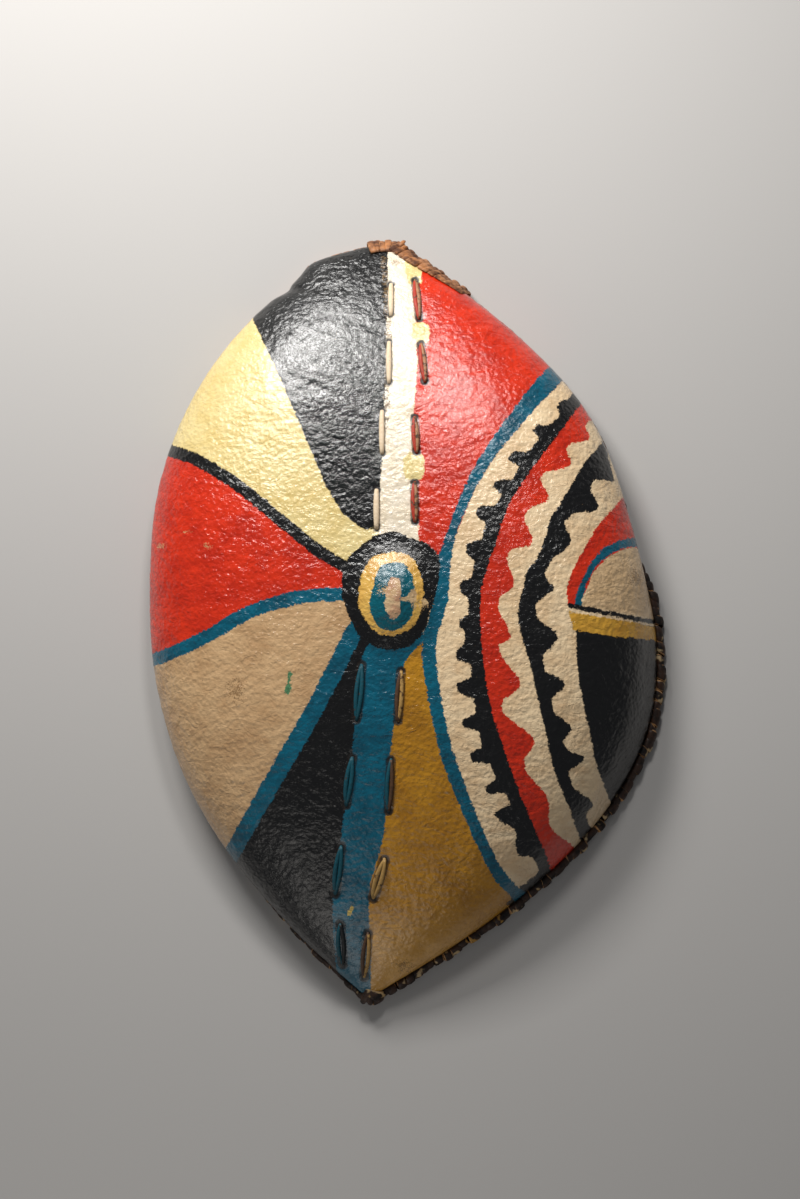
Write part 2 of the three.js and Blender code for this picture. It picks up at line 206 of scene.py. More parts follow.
# Section of a turn as (out, height). On the outside, out is a share of the reach.
TURN_START = (0.0036, 0.0160)
TURN_OUTSIDE = [
    (0.62, 0.0154), (0.90, 0.0130), (1.0, 0.0098), (0.95, 0.0066), (0.78, 0.0036), (0.42, 0.0016),
]
TURN_FOOT = (0.0, 0.0012)
TURN_INSIDE = [
    (-0.0034, 0.0016), (-0.0062, 0.0036), (-0.0076, 0.0066), (-0.0080, 0.0098), (-0.0072, 0.0126),
    (-0.0052, 0.0150),
]

# Section of the strap: across its width, and how far it stands up
STRAP_SECTION = [
    (-0.5, 0.0), (-0.42, 0.62), (-0.22, 0.92), (0.0, 1.0), (0.22, 0.92), (0.42, 0.62), (0.5, 0.0),
    (0.3, -0.4), (-0.3, -0.4),
]

# Turns that lie over the face at the upper tip: from this y up, on the left side only between these x
TOP_WRAP_Y = 0.406
TOP_WRAP_GROWTH = 0.045
TOP_WRAP_LEFT = (-0.068, -0.024)
TOP_WRAP_INSIDE = 0.0085
TOP_WRAP_LOWEST = 0.0165
TOP_WRAP_LIFT = 0.0024
TOP_WRAP_OUTSIDE = [(0.0060, 0.0160), (0.0082, 0.0112), (0.0078, 0.0062), (0.0050, 0.0024)]

# Knots of the strip: middle and size
LEFT_KNOTS = [((-0.0190, -0.4625, 0.0150), 1.45), ((-0.0390, 0.4610, 0.0168), 0.62)]
RIGHT_KNOTS = [((-0.0230, 0.4655, 0.0185), 0.85)]
KNOT_TURNS = (0.1, 0.9, 1.7, 2.4, 2.9)
KNOT_REACH = 0.0105
KNOT_RISE = 0.0052
KNOT_HALF_WIDTH = 0.0034
KNOT_HALF_THICKNESS = 0.0022
KNOT_BEND = 1.35
KNOT_ARCH = 1.9
KNOT_STEPS = 10
KNOT_SIDES = 10

# Floor, and the world's faint light
FLOOR_HALF = 6.0
WORLD_STRENGTH = 0.10


def smooth(t):
    c = np.clip(t, 0.0, 1.0)
    return c * c * (3.0 - 2.0 * c)


# The shield's surface


def towards_tip(side, y):
    """How far along y lies from a side's widest place to the tip, from 0 to 1."""
    tip = np.where(y > side["widest"], TIP_Y["upper"], TIP_Y["lower"])
    return np.minimum(1.0, (y - side["widest"]) / (tip - side["widest"]))


def side_x(side, y):
    upper = y > side["widest"]
    tip = np.where(upper, TIP_X["upper"], TIP_X["lower"])
    power = np.where(upper, side["upper"][0], side["lower"][0])
    end = np.where(upper, side["upper"][1], side["lower"][1])
    t = towards_tip(side, y)
    spread = np.maximum(0.0, 1.0 - t**power) ** end
    x = tip + (side["sign"] * side["reach"] - tip) * spread
    for swell_y, out, width in side["swells"]:
        x = x + side["sign"] * out * np.exp(-(((y - swell_y) / width) ** 2)) * (1.0 - t**SWELL_FADE)
    return x


def tuck_at(side, y):
    turn = smooth((y - TUCK_TURN_Y) / TUCK_TURN_LENGTH + 0.5)
    tuck = side["lower"][2] + (side["upper"][2] - side["lower"][2]) * turn
    return tuck * (1.0 - towards_tip(side, y) ** TUCK_FADE)


def ridge_x(y):
    t = (y - MIDDLE_Y) / HALF_LENGTH
    straight = TIP_X["lower"] + (TIP_X["upper"] - TIP_X["lower"]) * (t + 1.0) / 2.0
    return straight + RIDGE_BOW * (1.0 - t * t)


def dome_z(y, share):
    t = np.minimum(1.0, np.abs(y - MIDDLE_Y) / HALF_LENGTH)
    along = (1.0 - t ** LENGTHWISE[0]) ** LENGTHWISE[1]
    across = (1.0 - np.minimum(1.0, share) ** CROSSWISE[0]) ** CROSSWISE[1]
    return FACE_FOOT_Z + DOME_RISE * along * across


def boss_z(x, y):
    r = np.hypot((x - BOSS_CENTRE[0]) / BOSS_HALF[0], (y - BOSS_CENTRE[1]) / BOSS_HALF[1])
    return BOSS_RISE * smooth(1.0 - r)


def half_faces(u, v, side):
    y = MIDDLE_Y + HALF_LENGTH * v
    share = np.sin(np.abs(u) * math.pi / 2)
    x = ridge_x(y) + (side_x(side, y) - ridge_x(y)) * share
    z = dome_z(y, share)
    tuck = tuck_at(side, y) * (1.0 - smooth((z - FACE_FOOT_Z) / TUCK_HEIGHT)) * share**TUCK_FADE
    return np.stack([x - side["sign"] * tuck, y, z + boss_z(x, y)], axis=-1)


def face_points(u, v):
    """Points of the painted face: u from the left side (-1) to the right (1), v from tip to tip."""
    u = np.asarray(u, float)
    v = np.asarray(v, float)
    return np.where((u < 0.0)[..., None], half_faces(u, v, LEFT), half_faces(u, v, RIGHT))


def face_normals(u, v):
    u = np.asarray(u, float)
    v = np.clip(np.asarray(v, float), -0.996, 0.996)
    right = face_points(np.minimum(1.0, u + TANGENT_STEP), v)
    left = face_points(np.maximum(-1.0, u - TANGENT_STEP), v)
    along = face_points(u, v + TANGENT_STEP) - face_points(u, v - TANGENT_STEP)
    normal = np.cross(right - left, along)
    return normal / np.linalg.norm(normal, axis=-1, keepdims=True)


def height_at(x, y):
    """Height of the face over places in the plan, with its boss."""
    side = np.where(x < ridge_x(y), side_x(LEFT, y), side_x(RIGHT, y))
    across = side - ridge_x(y)
    wide = np.where(np.abs(across) < 0.001, 0.001, across)
    share = np.clip((x - ridge_x(y)) / wide, 0.0, 1.0)
    return dome_z(y, share) + boss_z(x, y)


# Camera


def camera_axes():
    """The picture's right and up, and the way back to the camera."""
    back = np.array([math.sin(CAMERA_SIDE), -math.sin(CAMERA_LOW), 0.0])
    back[2] = math.sqrt(1.0 - back @ back)
    right = np.cross(-back, (0.0, 1.0, 0.0))
    right /= np.linalg.norm(right)
    up = np.cross(right, -back)
    c = math.cos(CAMERA_ROLL)
    s = math.sin(CAMERA_ROLL)
    return c * right + s * up, -s * right + c * up, back


def plan_of(pixels):
    """The places in the plan that photo pixels show, as the camera sees the face."""
    right, up, back = camera_axes()
    eye = CAMERA_TARGET + CAMERA_DISTANCE * back
    pixels = np.asarray(pixels, float)
    across = (pixels[:, 0] - PHOTO_CENTRE[0]) / FOCAL_PIXELS
    rise = (PHOTO_CENTRE[1] - pixels[:, 1]) / FOCAL_PIXELS
    rays = -back[None] + across[:, None] * right + rise[:, None] * up
    z = np.full(len(pixels), PLAN_HEIGHT)
    for _ in range(PLAN_ROUNDS):
        hit = eye + rays * ((z - eye[2]) / rays[:, 2])[:, None]
        y = np.clip(hit[:, 1], TIP_Y["lower"] + PLAN_MARGIN, TIP_Y["upper"] - PLAN_MARGIN)
        z = (1.0 - PLAN_EASE) * z + PLAN_EASE * height_at(hit[:, 0], y)
    return hit[:, :2]


def make_camera():
    right, up, back = camera_axes()
    data = bpy.data.cameras.new("camera")
    data.sensor_fit = "AUTO"
    data.sensor_width = SENSOR
    data.lens = FOCAL_PIXELS * SENSOR / PHOTO_HEIGHT
    data.clip_end = 20.0
    camera = bpy.data.objects.new("camera", data)
    turn = Matrix((right, up, back)).transposed().to_4x4()
    eye = CAMERA_TARGET + SHIFT + CAMERA_DISTANCE * back
    camera.matrix_world = Matrix.Translation(eye) @ turn
    bpy.context.scene.collection.objects.link(camera)
    bpy.context.scene.camera = camera


# Painting: outlines in photo pixels


def rounded(points, per=5):
    """A smooth curve through points, by Catmull-Rom steps."""
    p = np.asarray(points, float)
    p = np.vstack([2 * p[0] - p[1], p, 2 * p[-1] - p[-2]])
    found = []
    for i in range(1, len(p) - 2):
        for t in np.arange(per) / per:
            a = 2 * p[i]
            b = p[i + 1] - p[i - 1]
            c = 2 * p[i - 1] - 5 * p[i] + 4 * p[i + 1] - p[i + 2]
            d = 3 * p[i] - p[i - 1] - 3 * p[i + 1] + p[i + 2]
            found.append((a + b * t + c * t * t + d * t**3) / 2)
    found.append(p[-2])
    return [tuple(q) for q in found]


def moved(points, right):
    return [(x + right, y) for x, y in points]


def scalloped(tips, valleys, past_tip, past_valley, per=9):
    """A scalloped edge from its first tip through every valley to its last tip.

    past_tip and past_valley give where along the way to the next turning point the edge crosses over.
    """
    found = []
    tips = np.asarray(tips, float)
    valleys = np.asarray(valleys, float)
    for i, valley in enumerate(valleys):
        along = tips[i + 1] - tips[i]
        along = along / np.hypot(*along)
        for start, end, (low, high) in ((tips[i], valley, past_tip), (valley, tips[i + 1], past_valley)):
            way = end - start
            forward = along * (way @ along)
            sideways = way - forward
            for t in np.arange(per) / per:
                over = float(smooth((t - low) / (high - low)))
                found.append(tuple(start + forward * t + sideways * over))
    found.append(tuple(tips[-1]))
    return found


BAND_1_TIPS = [
    (575, 378), (559, 404), (533.5, 428), (508.5, 457), (493, 486), (476, 511), (466, 549), (459.5, 587),
    (459.5, 624), (456, 655), (457, 687), (462.5, 722), (470, 757), (485, 790), (494.5, 815),
]
BAND_1_VALLEYS = [
    (572, 394), (556, 419), (536.5, 442), (517.5, 470), (501, 497), (484, 530), (473.5, 568), (468.5, 607),
    (464.5, 637), (471, 672), (475.5, 709), (481, 741), (494.5, 774), (508.5, 800),
]
BAND_1_END = [
    (499, 820), (514, 829), (517, 834), (514.5, 845), (518.5, 856), (531, 857), (538.5, 866),
    (536.5, 874), (527, 883), (519, 887), (506, 905), (575, 925),
]
RED_BAND_LEFT = [
    (597, 383), (579, 407), (563, 428), (545, 452), (527, 476), (511, 501), (502, 523), (495, 546),
    (487, 568), (482, 588), (480.5, 605), (481.6, 639), (487, 686), (493, 715), (502, 743), (512, 772),
    (523, 801), (533, 824), (546, 854), (552, 872), (562, 900),
]
RED_BAND_TIPS = [
    (606, 415), (589, 438), (571, 464), (548.5, 498), (532.5, 543), (513.5, 584), (510.5, 637),
    (520.5, 684), (534.5, 742), (548, 800), (575, 848), (600, 880),
]
RED_BAND_VALLEYS = [
    (587, 424), (568, 447), (541.5, 477), (525.5, 514), (509, 553), (499, 602), (499, 647), (501.5, 705),
    (524.5, 764), (551, 827), (585, 862),
]
BAND_2_LEFT = [
    (622, 415), (599, 446), (586, 460), (573, 482), (559, 505), (551, 517), (545, 537), (537, 558),
    (528, 569), (523, 588), (518, 612), (522, 638), (531, 667), (537, 696), (545, 730), (552, 763),
    (562, 791), (571, 814), (580, 838), (592, 868),
]
BAND_2_TIPS = [
    (614.5, 480), (598.5, 508), (571, 542), (554, 588), (557.5, 636), (565, 683), (571.5, 728),
    (584.5, 758), (594, 805), (603, 838),
]
BAND_2_VALLEYS = [
    (593, 483), (568, 519), (546, 572), (536, 608), (543.5, 664), (552.5, 704), (564.5, 744),
    (569.5, 775), (586, 816),
]
WEDGE_EDGE = [
    (646, 470), (626, 494), (613, 508.5), (598.5, 524.5), (589.5, 539), (579, 558.5), (570, 578),
    (566.5, 589), (568, 606),
]
BLACK_3_EDGE = [
    (572, 618), (576, 633), (577, 663), (582.5, 700), (590, 734), (596, 763), (604, 786), (616, 815),
]
WHITE_RIGHT = [
    (430, 236), (421, 262), (415, 285), (416, 318), (417, 345), (416, 385), (412.5, 430), (413, 470),
    (417, 510), (419, 545),
]
UPPER_BLACK_EDGE = [
    (386, 225), (388, 250), (388, 300), (386, 380), (384, 440), (379, 500), (373, 528), (364, 530),
    (352, 521), (340, 510), (325, 484), (300, 425), (275, 367), (254, 322), (220, 250),
]
BLACK_LINE = [(120, 436), (168, 450), (200, 462), (240, 487), (280, 520), (320, 552), (348, 568)]
SEAM_FRINGE = [(383, 258), (387, 300), (388.5, 335), (387.5, 380), (385.5, 430)]
BLUE_LINE = [(110, 680), (150, 662), (200, 640), (250, 612), (300, 597), (346, 594)]
BLUE_DIAGONAL = [(364, 618), (352, 635), (330, 680), (300, 735), (262, 800), (230, 858), (205, 905)]
ARC_LEFT = [
    (590, 336), (548, 368), (512, 411), (472, 471), (444, 540), (436, 566), (434, 590), (430, 612),
    (424, 638), (422, 663), (431.5, 715), (443, 763), (458, 801), (474, 839), (493, 877), (512, 898),
    (535, 925),
]
ARC_RIGHT = [
    (602, 345), (563, 381), (537, 407), (517, 430), (493, 460), (473, 494), (456, 535), (450, 570),
    (448, 600), (441, 625), (436, 648), (441, 696), (451, 743), (464, 782), (483, 830), (500, 864),
    (516, 885), (545, 905),
]
BAND_BOTTOM_LEFT = [
    (370, 640), (361, 662), (357, 700), (349, 780), (341, 835), (333, 885), (334, 940), (342, 1015),
]
BAND_BOTTOM_RIGHT = [
    (424, 640), (404, 664), (398, 700), (387, 780), (384, 835), (371, 882), (369, 910), (371, 960),
    (371, 1015),
]
FAR_ARC_OUTER = [
    (658, 537), (640, 537), (625, 539), (607.5, 546), (595, 557), (586, 571), (579, 587), (573, 607),
]
FAR_ARC_INNER = [
    (658, 549), (641, 548), (630, 547), (613, 553), (598.5, 564), (589.5, 578), (584, 593), (581.5, 609),
]
FAR_CREAM = [(690, 543), (641, 548), (627, 547.5), (609, 556), (592, 574), (582, 607), (690, 624)]
FAR_YELLOW = [(569, 611.5), (612, 619), (690, 632), (690, 647), (654, 641), (616, 637), (573, 630)]
FAR_BLACK_LINE = [(570, 605), (586, 609), (620, 615.5), (655, 622.5), (690, 628)]
TOP_PATCH = [(404, 257), (405.5, 270), (409, 284), (421, 283.5), (424, 262), (420, 250)]
MIDDLE_PATCH = [(412, 324), (413, 337), (417, 342), (428, 341), (429, 328), (423, 322), (412, 324)]
LOWER_PATCH = [(403, 456), (404, 476), (412, 480), (423, 477), (423, 456), (412, 452), (403, 456)]
BOSS_BLACK = [
    (342, 596), (342, 578), (347, 559), (356, 550), (363, 544), (377, 535), (394, 532), (412, 538),
    (430, 546), (440, 560), (437, 588), (431, 609), (425, 630), (412, 644), (392, 650), (372, 645),
    (356, 632), (348, 612), (342, 596),
]
BOSS_YELLOW = [
    (358, 598), (360.5, 580), (366, 565), (377, 555), (391, 552), (405, 553.5), (416, 564), (422, 579),
    (423.5, 595), (421, 611), (415, 624), (405, 632), (390, 636), (376, 632), (366, 621), (360, 609),
    (358, 598),
]
BOSS_BLUE = [
    (369, 602), (373, 588), (377, 572), (385, 564), (396, 562), (406, 566), (413, 578), (414.5, 592),
    (414, 608), (409, 621), (400, 629), (389, 631), (378, 626), (371, 615), (369, 602),
]
BOSS_GAP = [
    (399, 596.5), (408.5, 596.5), (411, 589.5), (414.5, 588), (417, 594), (416, 602), (415, 609),
    (412, 610), (410, 601), (399, 601),
]
BOSS_CHIP = [(421, 600), (424, 597.5), (427, 601), (431, 600), (428, 605), (423, 605.5)]
BOSS_HEART = [
    (384.5, 603), (386, 592), (388.5, 581), (392.5, 577), (400, 579.5), (401, 590), (400, 604), (400, 614),
    (393, 619), (386.5, 613), (384.5, 603),
]
TIP_SLIT = [(384, 243), (391, 240.5), (399, 245), (399, 251), (391, 250), (384, 247), (384, 243)]
GREEN_FLECK = [(288, 671), (293, 672), (291, 680), (292, 690), (287, 697), (284, 690), (288, 684)]
YELLOW_FLECK = [
    (351, 904), (354, 907), (352, 913), (350, 917), (347, 915), (349, 911), (346, 908), (350, 909),
]


def areas():
    """Each layer's outlines in photo pixels, the lowest layer first.

    The loose points of an outline lie past the hide's edge or under a layer that covers them.
    """
    band_1 = scalloped(BAND_1_TIPS, BAND_1_VALLEYS, (0.2, 0.62), (0.38, 0.78)) + BAND_1_END
    red_band = scalloped(RED_BAND_TIPS, RED_BAND_VALLEYS, (0.05, 0.9), (0.1, 1.0))
    band_2 = scalloped(BAND_2_TIPS, BAND_2_VALLEYS, (0.05, 0.8), (0.25, 1.0))
    band_2 = [(600, 428), (605, 441), (609, 458), *band_2]
    bottom_left = rounded(BAND_BOTTOM_LEFT)
    bottom_right = rounded(BAND_BOTTOM_RIGHT)
    diagonal = rounded(BLUE_DIAGONAL)
    return {
        "beige": [[(90, 685), *rounded(BLUE_LINE[1:]), (366, 612), *diagonal, (120, 930), (40, 760)]],
        "pale_yellow": [
            [
                (60, 240), (230, 240), (386, 500), (378, 541), (354, 558), (346, 570),
                *reversed(rounded(BLACK_LINE)),
            ],
        ],
        "white": [
            [(372, 230), (372, 380), (378, 500), (378, 545), *reversed(rounded(WHITE_RIGHT)), (440, 230)],
        ],
        "red": [
            [(80, 420), *rounded(BLACK_LINE), (354, 594), *reversed(rounded(BLUE_LINE))],
            [*rounded(WHITE_RIGHT), (446, 562), *reversed(rounded(ARC_RIGHT[:7])), (560, 260), (450, 215)],
            [(580, 380), *moved(rounded(RED_BAND_LEFT), -7), *reversed(red_band)],
            [*rounded(WEDGE_EDGE), (578, 606), (600, 565), (680, 545), (700, 470)],
        ],
        "ochre": [
            [*moved(rounded(ARC_LEFT[8:]), 6), (560, 960), (350, 1040), *reversed(moved(bottom_right, -9))],
        ],
        "black": [
            [*UPPER_BLACK_EDGE, (300, 190)],
            [*diagonal, (240, 960), (340, 1030), *reversed(moved(bottom_left, 7)), (366, 620)],
            [*band_1, *reversed(rounded(RED_BAND_LEFT))],
            [*rounded(BAND_2_LEFT), *reversed(band_2)],
            [*rounded(BLACK_3_EDGE), (720, 860), (720, 630)],
        ],
        "far_cream": [FAR_CREAM],
        "far_yellow": [FAR_YELLOW],
        "blue": [
            [*rounded(ARC_LEFT), *reversed(rounded(ARC_RIGHT))],
            [*bottom_left, *reversed(bottom_right), (424, 625), (372, 630)],
            [*rounded(FAR_ARC_OUTER), *reversed(rounded(FAR_ARC_INNER))],
        ],
        "patch_yellow": [TOP_PATCH, rounded(MIDDLE_PATCH), rounded(LOWER_PATCH)],
        "ring_black": [rounded(BOSS_BLACK)],
        "ring_yellow": [rounded(BOSS_YELLOW)],
        "oval_blue": [rounded(BOSS_BLUE)],
        "link": [BOSS_GAP, BOSS_CHIP],
        "heart": [rounded(BOSS_HEART)],
        "fringe": [],
        "slit": [rounded(TIP_SLIT)],
        "green_fleck": [GREEN_FLECK],
        "yellow_fleck": [YELLOW_FLECK],
    }


# Lines of an even width: photo pixels, and the line's width in metres
LINES = {
    "black": [(BLACK_LINE, 0.0150)],
    "blue": [(BLUE_LINE, 0.0165), (BLUE_DIAGONAL, 0.0215)],
    "fringe": [(SEAM_FRINGE, 0.0060)],
    "ring_black": [(FAR_BLACK_LINE, 0.0060)],
}

# Scratched spots, and spots with dirt: photo pixels of the middle, half sizes
WORN_SPOTS = [
    ((186, 532), (7, 2)), ((160, 546), (6, 3)), ((207, 546), (5, 3)), ((422, 604), (8, 7)),
    ((383, 590), (7, 6)), ((392, 592), (4, 5)),
]
STAINED_SPOTS = [((636, 576), (9, 10)), ((404, 966), (12, 7)), ((236, 690), (10, 12)), ((395, 262), (9, 4))]


def signed_distance(places, outline):
    """Distance of each place to an outline, above zero inside."""
    outline = np.asarray(outline, float)
    nearest = np.full(len(places), 9.0)
    inside = np.zeros(len(places), bool)
    for a, b in zip(outline, np.roll(outline, -1, axis=0)):
        nearest = np.minimum(nearest, segment_distance(places, a, b))
        if a[1] != b[1]:
            crosses = (a[1] > places[:, 1]) != (b[1] > places[:, 1])
            at_x = a[0] + (places[:, 1] - a[1]) * (b[0] - a[0]) / (b[1] - a[1])
            inside ^= crosses & (places[:, 0] < at_x)
    return np.where(inside, nearest, -nearest)


def segment_distance(places, a, b):
    run = b - a
    length = max(1e-12, float(run @ run))
    share = np.clip(((places - a) @ run) / length, 0.0, 1.0)
    gap = places - (a + share[:, None] * run)
    return np.hypot(gap[:, 0], gap[:, 1])


def painted_fields(places):
    """The signed distance of each place to every layer's areas and lines."""
    fields = {}
    for name, outlines in areas().items():
        found = [signed_distance(places, plan_of(outline)) for outline in outlines]
        for points, width in LINES.get(name, []):
            line = plan_of(rounded(points))
            gaps = [segment_distance(places, a, b) for a, b in zip(line, line[1:])]
            found.append(width / 2 - np.min(gaps, axis=0))
        fields["paint_" + name] = np.max(found, axis=0)
    return fields


def hole_field(places):
    """Distance of each place to the nearest lacing hole."""
    ends = np.array([end for pair in STITCHES for stitch in pair for end in stitch])
    gaps = np.linalg.norm(places[:, None, :] - ends[None], axis=2)
    return np.min(gaps, axis=1)


def stitch_field(places):
    """Distance of each place to the nearest stitch's own edge."""
    gaps = []
    for pair, kinds in zip(STITCHES, STITCH_KINDS):
        for (upper, lower), (_, _, spread, width) in zip(pair, kinds):
            line = segment_distance(places, np.array(upper), np.array(lower))
            gaps.append(line - spread - width / 2)
    return np.min(gaps, axis=0)


def spot_field(places, spots):
    """How deep each place lies in the nearest spot: 1 at its middle, 0 at its rim."""
    found = np.full(len(places), -1.0)
    for (x, y), (half_x, half_y) in spots:
        centre, right, below = plan_of([(x, y), (x + half_x, y), (x, y + half_y)])
        wide = abs(right[0] - centre[0])
        tall = abs(below[1] - centre[1])
        r = np.hypot((places[:, 0] - centre[0]) / wide, (places[:, 1] - centre[1]) / tall)
        found = np.maximum(found, 1.0 - r)
    return found


# Mesh helpers


def object_of(bm, name, materials):
    """A mesh object from a bmesh in shield coordinates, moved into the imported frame."""
    bmesh.ops.recalc_face_normals(bm, faces=bm.faces[:])
    bmesh.ops.translate(bm, vec=Vector(SHIFT), verts=bm.verts[:])
    mesh = bpy.data.meshes.new(name)
    bm.to_mesh(mesh)
    bm.free()
    for face in mesh.polygons:
        face.use_smooth = True
    for material in materials:
        mesh.materials.append(material)
    obj = bpy.data.objects.new(name, mesh)
    bpy.context.scene.collection.objects.link(obj)
    return obj


def as_piece(obj, slot, *nodes):
    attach(obj, "root")
    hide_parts(*nodes)


def tube(bm, rings, closed, material=0):
    """A tube through rings of points, with a fan at each end unless it closes on itself.

    material is one slot for it all, or gives the slot of each stretch by its number.
    """
    rows = [[bm.verts.new(p) for p in ring] for ring in rings]
    count = len(rows)
    size = len(rows[0])
    kinds = material if callable(material) else lambda i: material
    for i in range(count if closed else count - 1):
        for k in range(size):
            row = rows[i]
            after = rows[(i + 1) % count]
            quad = (row[k], row[(k + 1) % size], after[(k + 1) % size], after[k])
            bm.faces.new(quad).material_index = kinds(i)
    if not closed:
        for row, i in ((rows[0], 0), (rows[-1], count - 2)):
            middle = bm.verts.new(sum((v.co for v in row), Vector()) / size)
            for k in range(size):
                bm.faces.new((row[k], row[(k + 1) % size], middle)).material_index = kinds(i)
    return rows


# Hide


def relief(u, v, points):
    """How far the dried and painted hide stands out of its even surface."""
    share = np.sin(np.abs(u) * math.pi / 2)
    lift = np.zeros(len(points))
    for i, (x, y, _) in enumerate(points):
        broad = noise.noise(Vector((x * 9.0, y * 11.0, 3.1)))
        fold = noise.noise(Vector((x * 34.0 + broad, y * 62.0 + x * 12.0, 7.7)))
        fine = noise.noise(Vector((x * 108.0, y * 112.0, 1.3)))
        long_fold = noise.noise(Vector((x * 13.0, y * 80.0 + x * 28.0, 4.4)))
        aside = (x - CREASED_PLACE[0]) / CREASED_HALF[0]
        above = (y - CREASED_PLACE[1]) / CREASED_HALF[1]
        creased = math.exp(-(aside**2) - above**2)
        lift[i] = SWELL_HEIGHT * broad + FOLD_HEIGHT * (1.0 - 2.0 * abs(fold)) + PEBBLE_HEIGHT * fine
        lift[i] += CREASE_HEIGHT * creased * (1.0 - 2.0 * abs(long_fold))
    from_sides = np.clip((1.0 - share) / EDGE_FADE, 0.0, 1.0)
    from_tips = np.clip((1.0 - np.abs(v)) / EDGE_FADE, 0.0, 1.0)
    gap = hole_field(points[:, :2])
    dimple = DIMPLE_DEPTH * np.exp(-((gap / DIMPLE_RADIUS) ** 2))
    return lift * (from_sides * from_tips) - dimple


def back_points(u, v, face):
    """Points of the bare back, one thickness in behind the face."""
    y = face[:, 1]
    half_width = (side_x(RIGHT, y) - side_x(LEFT, y)) / 2
    depth = THICKNESS * np.clip(half_width / THIN_HALF_WIDTH, THINNEST, 1.0)
    points = face - face_normals(u, v) * depth[:, None]
    at_tip = np.abs(v) > 0.9999
    points[at_tip, 0] = np.where(v[at_tip] > 0, TIP_X["upper"], TIP_X["lower"])
    points[at_tip, 1] = MIDDLE_Y + np.sign(v[at_tip]) * (HALF_LENGTH - THICKNESS * TIP_WALL)
    points[at_tip, 2] = FACE_FOOT_Z
    return points


def flat_grid(bm, columns):
    before = set(bm.verts)
    bmesh.ops.create_grid(bm, x_segments=columns, y_segments=ROWS, size=1.0)
    return [vert for vert in bm.verts if vert not in before]


def laid_grid(bm, verts, kind):
    """A flat grid laid on the hide's face or back; gives the vertices left when the tips are closed."""
    u = np.array([vert.co.x for vert in verts])
    v = np.array([vert.co.y for vert in verts])
    points = face_points(u, v)
    if kind == BACK:
        points = back_points(u, v, points)
    else:
        points = points + face_normals(u, v) * relief(u, v, points)[:, None]
    for vert, point in zip(verts, points):
        vert.co = point
    bmesh.ops.remove_doubles(bm, verts=verts, dist=1e-5)
    sheet = set(vert for vert in verts if vert.is_valid)
    for face in bm.faces:
        if face.verts[0] in sheet:
            face.material_index = kind
            if kind == BACK:
                face.normal_flip()
    return sheet


def turned_down_edge(bm, sheet, kind):
    """The rim of one sheet drawn down to the foot of the hide; gives the new free edges."""
    rim = [edge for edge in bm.edges if edge.is_boundary and edge.verts[0] in sheet]
    grown = bmesh.ops.extrude_edge_only(bm, edges=rim)["geom"]
    for part in grown:
        if isinstance(part, bmesh.types.BMVert):
            part.co.z = FOOT_Z
        elif isinstance(part, bmesh.types.BMFace):
            part.material_index = kind
    return [part for part in grown if isinstance(part, bmesh.types.BMEdge) and part.is_boundary]


def store_fields(obj):
    """Keep the distances to paints, holes and stitches on the vertices, where the shaders read them."""
    places = np.zeros(len(obj.data.vertices) * 3)
    obj.data.vertices.foreach_get("co", places)
    plan = places.reshape(-1, 3)[:, :2] - SHIFT[:2]
    fields = painted_fields(plan)
    fields["hole_distance"] = hole_field(plan)
    fields["stitch_distance"] = stitch_field(plan)
    fields["worn"] = spot_field(plan, WORN_SPOTS)
    fields["stained"] = spot_field(plan, STAINED_SPOTS)
    for name, values in fields.items():
        layer = obj.data.attributes.new(name, "FLOAT", "POINT")
        layer.data.foreach_set("value", values)


def make_hide(face_material, back_material):
    """The shell: a painted face and a bare back, joined round the foot of the edge."""
    bm = bmesh.new()
    grids = [flat_grid(bm, columns) for columns in (FACE_COLUMNS, BACK_COLUMNS)]
    loops = []
    for kind, verts in zip((FACE, BACK), grids):
        sheet = laid_grid(bm, verts, kind)
        loops += turned_down_edge(bm, sheet, kind)
    for face in bmesh.ops.bridge_loops(bm, edges=loops)["faces"]:
        face.material_index = BACK
    bmesh.ops.remove_doubles(bm, verts=bm.verts[:], dist=1e-6)
    obj = object_of(bm, "painted_hide", [face_material, back_material])
    store_fields(obj)
    as_piece(obj, "painted_hide", "hide")


# Shaders


class Socket:
    """A shader output that can stand in sums."""

    def __init__(self, shader, output):
        self.shader = shader
        self.output = output

    def math(self, operation, *values, clamp=False):
        return self.shader.node("ShaderNodeMath", {"operation": operation, "use_clamp": clamp}, *values)

    def __add__(self, other):
        return self.math("ADD", self, other)

    def __radd__(self, other):
        return self.math("ADD", other, self)

    def __sub__(self, other):
        return self.math("SUBTRACT", self, other)

    def __rsub__(self, other):
        return self.math("SUBTRACT", other, self)

    def __mul__(self, other):
        return self.math("MULTIPLY", self, other)

    def __rmul__(self, other):
        return self.math("MULTIPLY", other, self)

    def absolute(self):
        return self.math("ABSOLUTE", self)

    def clamped(self):
        return self.math("ADD", self, 0.0, clamp=True)

    def largest(self, other):
        return self.math("MAXIMUM", self, other)


